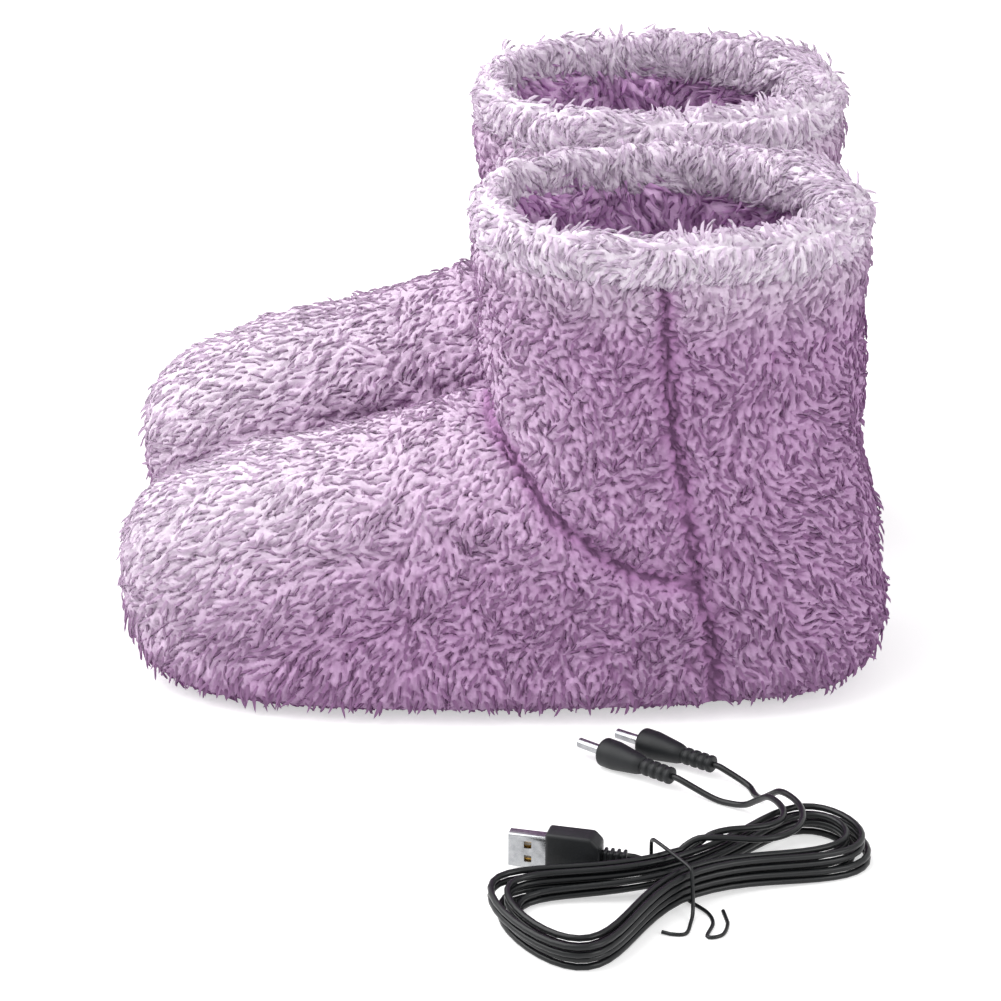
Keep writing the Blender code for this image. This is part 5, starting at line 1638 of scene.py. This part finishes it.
def tie_route(hank):
    """Once round the waist and the feeds, with both ends curled on the floor in front."""
    margin = 0.5 * lead_diameter + tie_clearance + 0.5 * tie_diameter
    front = hank_inner_waist + (hank_turn_count - 0.5) * hank_waist_step + margin
    back = feed_via[1] + margin
    low = 0.5 * tie_diameter + tie_floor_gap
    high = waist_lift + 0.5 * lead_diameter + 3 * lead_pitch + margin
    centre, half_width = 0.5 * (back - front), 0.5 * (back + front)
    middle, half_height = 0.5 * (low + high), 0.5 * (high - low)
    square_share = 0.3
    under_share = 0.85
    points = []
    for i in range(1, int(under_share * tie_points) + 1):
        turn = 2 * math.pi * i / tie_points
        c, s = -math.cos(turn), math.sin(turn)
        t = centre + squarish(c, square_share) * half_width
        z = middle + squarish(s, square_share) * half_height
        points.append(hank.at(tie_half_pitch * (2 * i / tie_points - 1) - tie_setback, t, z))
    start, end = ([hank.at(*point) for point in way] for way in (tie_start_route, tie_end_route))
    return smooth_route(start + points + end, tie_step)


class LeadMaker(bpy.types.Operator):
    """Wind the two leads into their hank and tie it"""

    bl_idname = "foot_warmer.leads"
    bl_label = "Leads and tie"

    def execute(self, context):
        hank = Hank()
        for lead, name in enumerate(("plug_1", "plug_2")):
            label = f"lead_{lead + 1}"
            points = lead_route(hank, lead, name)
            obj = tube(label, points, lead_diameter, "soft_black_pvc", 4)
            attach(obj, "power_cable")
            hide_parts(f"{label}_feed", f"{label}_hank", f"{label}_tail")
        tie = tube("hank_tie", tie_route(hank), tie_diameter, "soft_black_pvc", 3)
        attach(tie, "power_cable")
        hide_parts("wire_tie")
        return {"FINISHED"}


def bar(bm, low, high):
    """A box between two corners, added to a form."""
    made = bmesh.ops.create_cube(bm, size=1.0)
    low, high = Vector(low), Vector(high)
    bmesh.ops.scale(bm, vec=high - low, verts=made["verts"])
    bmesh.ops.translate(bm, vec=0.5 * (low + high), verts=made["verts"])
    return made["verts"]


def edges_of(verts):
    return list({e for v in verts for e in v.link_edges})


def usb_shell_piece():
    """Rolled steel shell, open at its tip, with two latch windows in each broad face."""
    half_w, half_h = 0.5 * usb_shell_width, 0.5 * usb_shell_height
    bm = bmesh.new()
    end = usb_shell_length + usb_shell_seat
    verts = bar(bm, (0.0, -half_w, -half_h), (end, half_w, half_h))
    long_edges = [e for e in edges_of(verts) if abs((e.verts[0].co - e.verts[1].co).x) > 0.5 * end]
    round_edges(bm, long_edges, 0.0008, 4)
    bmesh.ops.delete(bm, geom=[f for f in bm.faces if abs(f.normal.x) > 0.9], context="FACES_ONLY")
    shell = object_of("usb_rolled_shell", in_usb_place(bm), "nickel_plated_steel")
    wall = shell.modifiers.new("wall", "SOLIDIFY")
    wall.thickness = usb_shell_wall
    wall.offset = -1.0
    cutter_mesh = bmesh.new()
    start = usb_window_setback - 0.5 * usb_window_side
    for over in (-0.5 * usb_window_gap, 0.5 * usb_window_gap):
        bar(
            cutter_mesh, (start, over - 0.5 * usb_window_side, -usb_shell_height),
            (start + usb_window_side, over + 0.5 * usb_window_side, usb_shell_height),
        )
    cutter = object_of("window cutter", in_usb_place(cutter_mesh))
    cut = shell.modifiers.new("windows", "BOOLEAN")
    cut.object = cutter
    edge = shell.modifiers.new("edges", "BEVEL")
    edge.width = 0.00008
    edge.segments = 2
    edge.limit_method = "ANGLE"
    baked(shell)
    bpy.data.objects.remove(cutter, do_unlink=True)
    return shade_smooth(shell, 35.0)


def usb_grip_piece():
    """Overmoulded grip with a chamfered end, and four soft ribs where the leads leave it."""
    half_w, half_h = 0.5 * usb_grip_width, 0.5 * usb_grip_height
    start, end = usb_shell_length, usb_shell_length + usb_grip_length
    bm = bmesh.new()
    verts = bar(bm, (start, -half_w, -half_h), (end, half_w, half_h))
    corners = [
        e for e in edges_of(verts)
        if all(v.co.x > end - fit_gap for v in e.verts) and abs((e.verts[0].co - e.verts[1].co).z) > half_h
    ]
    round_edges(bm, corners, 0.7 * usb_grip_chamfer, 1)
    round_edges(bm, list(bm.edges), 0.0011, 4)
    core_w, core_h = 0.5 * usb_relief_width - 0.0007, 0.5 * usb_relief_height - 0.0007
    core = bar(bm, (end - 0.001, -core_w, -core_h), (usb_relief_end - 0.0004, core_w, core_h))
    round_edges(bm, edges_of(core), 0.0006, 3)
    for i in range(relief_rib_count):
        rib_start = end + (i + 0.3) * relief_rib_pitch
        rib_end = end + (i + 0.9) * relief_rib_pitch
        rib = bar(
            bm, (rib_start, -0.5 * usb_relief_width, -0.5 * usb_relief_height),
            (rib_end, 0.5 * usb_relief_width, 0.5 * usb_relief_height),
        )
        round_edges(bm, edges_of(rib), 0.00055, 4)
    bmesh.ops.recalc_face_normals(bm, faces=bm.faces)
    return shade_smooth(object_of("usb_moulded_grip", in_usb_place(bm), "moulded_black_pvc"), 50.0)


class UsbPlugMaker(bpy.types.Operator):
    """Make the USB plug's shell and its moulded grip"""

    bl_idname = "foot_warmer.usb_plug"
    bl_label = "USB plug"

    def execute(self, context):
        for obj, node, slot in (
            (usb_shell_piece(), "usb_shell", "nickel_plate"), (usb_grip_piece(), "usb_grip", "black_pvc"),
        ):
            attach(obj, "power_cable")
            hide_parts(node)
        return {"FINISHED"}


class BarrelPlugMaker(bpy.types.Operator):
    """Turn the two barrel plugs with their ribbed grips"""

    bl_idname = "foot_warmer.barrel_plugs"
    bl_label = "Barrel plugs"

    def execute(self, context):
        for name in plug_tips:
            tip = plug_tips[name] + Vector((0.0, 0.0, plug_collar_radius))
            axis = plug_axis(name)
            bore_wall = barrel_bore_radius + barrel_wall
            seat_end = barrel_length + plug_seat
            inner = bore_wall + fit_gap
            barrel = (
                (seat_end, inner), (0.0, inner), (0.0, barrel_radius), (seat_end, barrel_radius),
                (seat_end, inner),
            )
            insulator = (
                (barrel_length, 0.0), (barrel_length, barrel_bore_radius), (fit_gap, barrel_bore_radius),
                (fit_gap, bore_wall), (seat_end - fit_gap, bore_wall), (seat_end - fit_gap, 0.0),
            )
            seat_radius = barrel_radius + fit_gap
            body_end = barrel_length + plug_body_length
            grip = [
                (seat_end + fit_gap, 0.0), (seat_end + fit_gap, seat_radius), (barrel_length, seat_radius),
                (barrel_length, plug_collar_radius - 0.0008), (barrel_length + 0.0008, plug_collar_radius),
                (barrel_length + 0.34 * plug_body_length, plug_collar_radius),
                (barrel_length + 0.90 * plug_body_length, plug_waist_radius), (body_end, plug_relief_radius),
            ]
            groove = plug_relief_radius - plug_relief_groove
            for i in range(plug_rib_count):
                start = body_end + i * plug_rib_pitch
                grip += [
                    (start + 0.10 * plug_rib_pitch, groove), (start + 0.35 * plug_rib_pitch, groove),
                    (start + 0.42 * plug_rib_pitch, plug_relief_radius),
                    (start + 0.95 * plug_rib_pitch, plug_relief_radius),
                ]
            relief_end = grip[-1][0]
            grip.append((relief_end, 0.0))
            for part, profile, size, finish_name, slot in (
                ("barrel", barrel, 0.0002, "nickel_plated_steel", "nickel_plate"),
                ("insulator", insulator, 0.0001, "black_nylon", "black_plastic"),
                ("grip", grip, 0.0007, "moulded_black_pvc", "black_pvc"),
            ):
                bm = turned(rounded(profile, size), 40, tip, axis)
                obj = shade_smooth(object_of(f"{name}_turned_{part}", bm, finish_name), 50.0)
                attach(obj, "power_cable")
                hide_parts(f"{name}_{part}")
        return {"FINISHED"}


class CordDeclarer(bpy.types.Operator):
    bl_idname = "foot_warmer.declare_leads"
    bl_label = "Lead facts"

    def execute(self, context):
        objects = bpy.data.objects
        for lead, name in enumerate(("plug_1", "plug_2")):
            carried = [objects[f"{name}_turned_{part}"] for part in ("grip", "barrel", "insulator")]
            if lead == 0:
                contacts = [f"usb_contact_{i + 1}" for i in range(4)]
                carried += [objects[other] for other in ("usb_moulded_grip", "usb_rolled_shell", "hank_tie")]
                carried += [frame["nodes"][other] for other in ["usb_tongue"] + contacts]
        return {"FINISHED"}


class InnerPartFinisher(bpy.types.Operator):
    """Give the parts that keep their solid form their finishes"""

    bl_idname = "foot_warmer.inner_parts"
    bl_label = "Inner parts"

    def execute(self, context):
        kept = {"usb_tongue": "white_nylon"}
        kept.update({f"usb_contact_{i + 1}": "gold_flash_plating" for i in range(4)})
        for side_name, _ in sides:
            kept[f"{side_name}_heating_wire"] = "red_silicone_rubber"
            kept[f"{side_name}_thermal_cutout"] = "white_nylon"
            kept[f"{side_name}_pad_lead"] = "soft_black_pvc"
            kept[f"{side_name}_socket_pin"] = "nickel_plated_steel"
        for node, finish_name in kept.items():
            obj = frame["nodes"][node]
            for material_slot in obj.material_slots:
                material_slot.material = finish(finish_name)
        return {"FINISHED"}


def seen_directly(tree):
    """1 to the camera and to glossy and clear surfaces, 0 to all other light."""
    path = add_node(tree, "ShaderNodeLightPath")
    either = calculated(tree, "MAXIMUM", path.outputs["Is Camera Ray"], path.outputs["Is Glossy Ray"])
    return calculated(tree, "MAXIMUM", either, path.outputs["Is Transmission Ray"])


class StageMaker(bpy.types.Operator):
    """Set up the pale floor, the soft studio light and the camera"""

    bl_idname = "foot_warmer.stage"
    bl_label = "Studio"

    def execute(self, context):
        scene = context.scene
        light = scene.foot_warmer_light
        scene.view_settings.view_transform = "Standard"
        world = bpy.data.worlds.new("even studio sky")
        world.use_nodes = True
        scene.world = world
        tree = world.node_tree
        sky = tree.nodes["Background"]
        sky.inputs["Color"].default_value = (1.0, 1.0, 1.0, 1.0)
        sky.inputs["Strength"].default_value = light.sky
        white = add_node(tree, "ShaderNodeBackground", {"Color": (1.0, 1.0, 1.0, 1.0), "Strength": 1.0})
        mixed = add_node(
            tree, "ShaderNodeMixShader", {0: seen_directly(tree), 1: sky.outputs[0], 2: white.outputs[0]}
        )
        tree.links.new(mixed.outputs[0], tree.nodes["World Output"].inputs["Surface"])

        bm = bmesh.new()
        bmesh.ops.create_grid(bm, x_segments=1, y_segments=1, size=6.0)
        floor = object_of("studio_floor", bm)
        paper = bpy.data.materials.new("white_seamless_paper")
        paper.use_nodes = True
        tree = paper.node_tree
        shader = tree.nodes["Principled BSDF"]
        shader.inputs["Base Color"].default_value = (0.70, 0.70, 0.70, 1.0)
        shader.inputs["Roughness"].default_value = 0.9
        shader.inputs["Specular IOR Level"].default_value = 0.1
        glow = add_node(tree, "ShaderNodeEmission", {"Color": (1.0, 1.0, 1.0, 1.0), "Strength": 0.50})
        added = add_node(tree, "ShaderNodeAddShader", {0: shader.outputs[0], 1: glow.outputs[0]})
        mixed = add_node(
            tree, "ShaderNodeMixShader", {0: seen_directly(tree), 1: shader.outputs[0], 2: added.outputs[0]}
        )
        tree.links.new(mixed.outputs[0], tree.nodes["Material Output"].inputs["Surface"])
        floor.data.materials.append(paper)

        lamps = (
            ("key", (-1.15, 0.0, 1.45), 2.6, light.key_power),
            ("fill", (1.2, -1.0, 0.8), 1.0, light.fill_power),
        )
        target = Vector((0.0, -0.03, 0.07))
        for name, place, size, power in lamps:
            data = bpy.data.lights.new(name, "AREA")
            data.shape = "DISK"
            data.size = size
            data.energy = power
            lamp = bpy.data.objects.new(name, data)
            lamp.location = place
            lamp.rotation_euler = (target - Vector(place)).to_track_quat("-Z", "Y").to_euler()
            scene.collection.objects.link(lamp)

        view = bpy.data.cameras.new("camera")
        view.sensor_width = 36.0
        view.lens = 154.07
        camera = bpy.data.objects.new("camera", view)
        camera.location = (0.0, -1.4377, 0.6740)
        camera.rotation_euler = (math.radians(66.0), 0.0, 0.0)
        scene.collection.objects.link(camera)
        scene.camera = camera
        return {"FINISHED"}


class FootWarmerPanel(bpy.types.Panel):
    """Sizes, colours and makers of the plush foot warmers"""

    bl_idname = "VIEW3D_PT_foot_warmer"
    bl_label = "Foot warmers"
    bl_space_type = "VIEW_3D"
    bl_region_type = "UI"
    bl_category = "Foot warmers"

    def draw(self, context):
        for name in groups:
            group = getattr(context.scene, name)
            box = self.layout.box()
            for name in group.__annotations__:
                box.prop(group, name)
        for maker in makers:
            self.layout.operator(maker.bl_idname)


makers = (
    StageMaker, LeadMaker, UsbPlugMaker, BarrelPlugMaker, CordDeclarer, InnerPartFinisher, SocketMaker,
    SoleMaker, UpperMaker, RimMaker, LiningMaker,
)
groups = {
    "foot_warmer_pile": PileSizes, "foot_warmer_colours": ClothColours, "foot_warmer_light": StudioLight,
}


def register():
    for kind in (*groups.values(), *makers, FootWarmerPanel):
        bpy.utils.register_class(kind)
    for name, kind in groups.items():
        setattr(bpy.types.Scene, name, PointerProperty(type=kind))


def unregister():
    for name in groups:
        delattr(bpy.types.Scene, name)
    for kind in (FootWarmerPanel, *reversed(makers), *groups.values()):
        bpy.utils.unregister_class(kind)


def main():
    register()
    for maker in makers:
        family, name = maker.bl_idname.split(".")
        getattr(getattr(bpy.ops, family), name)()


if __name__ == "__main__":
    main()
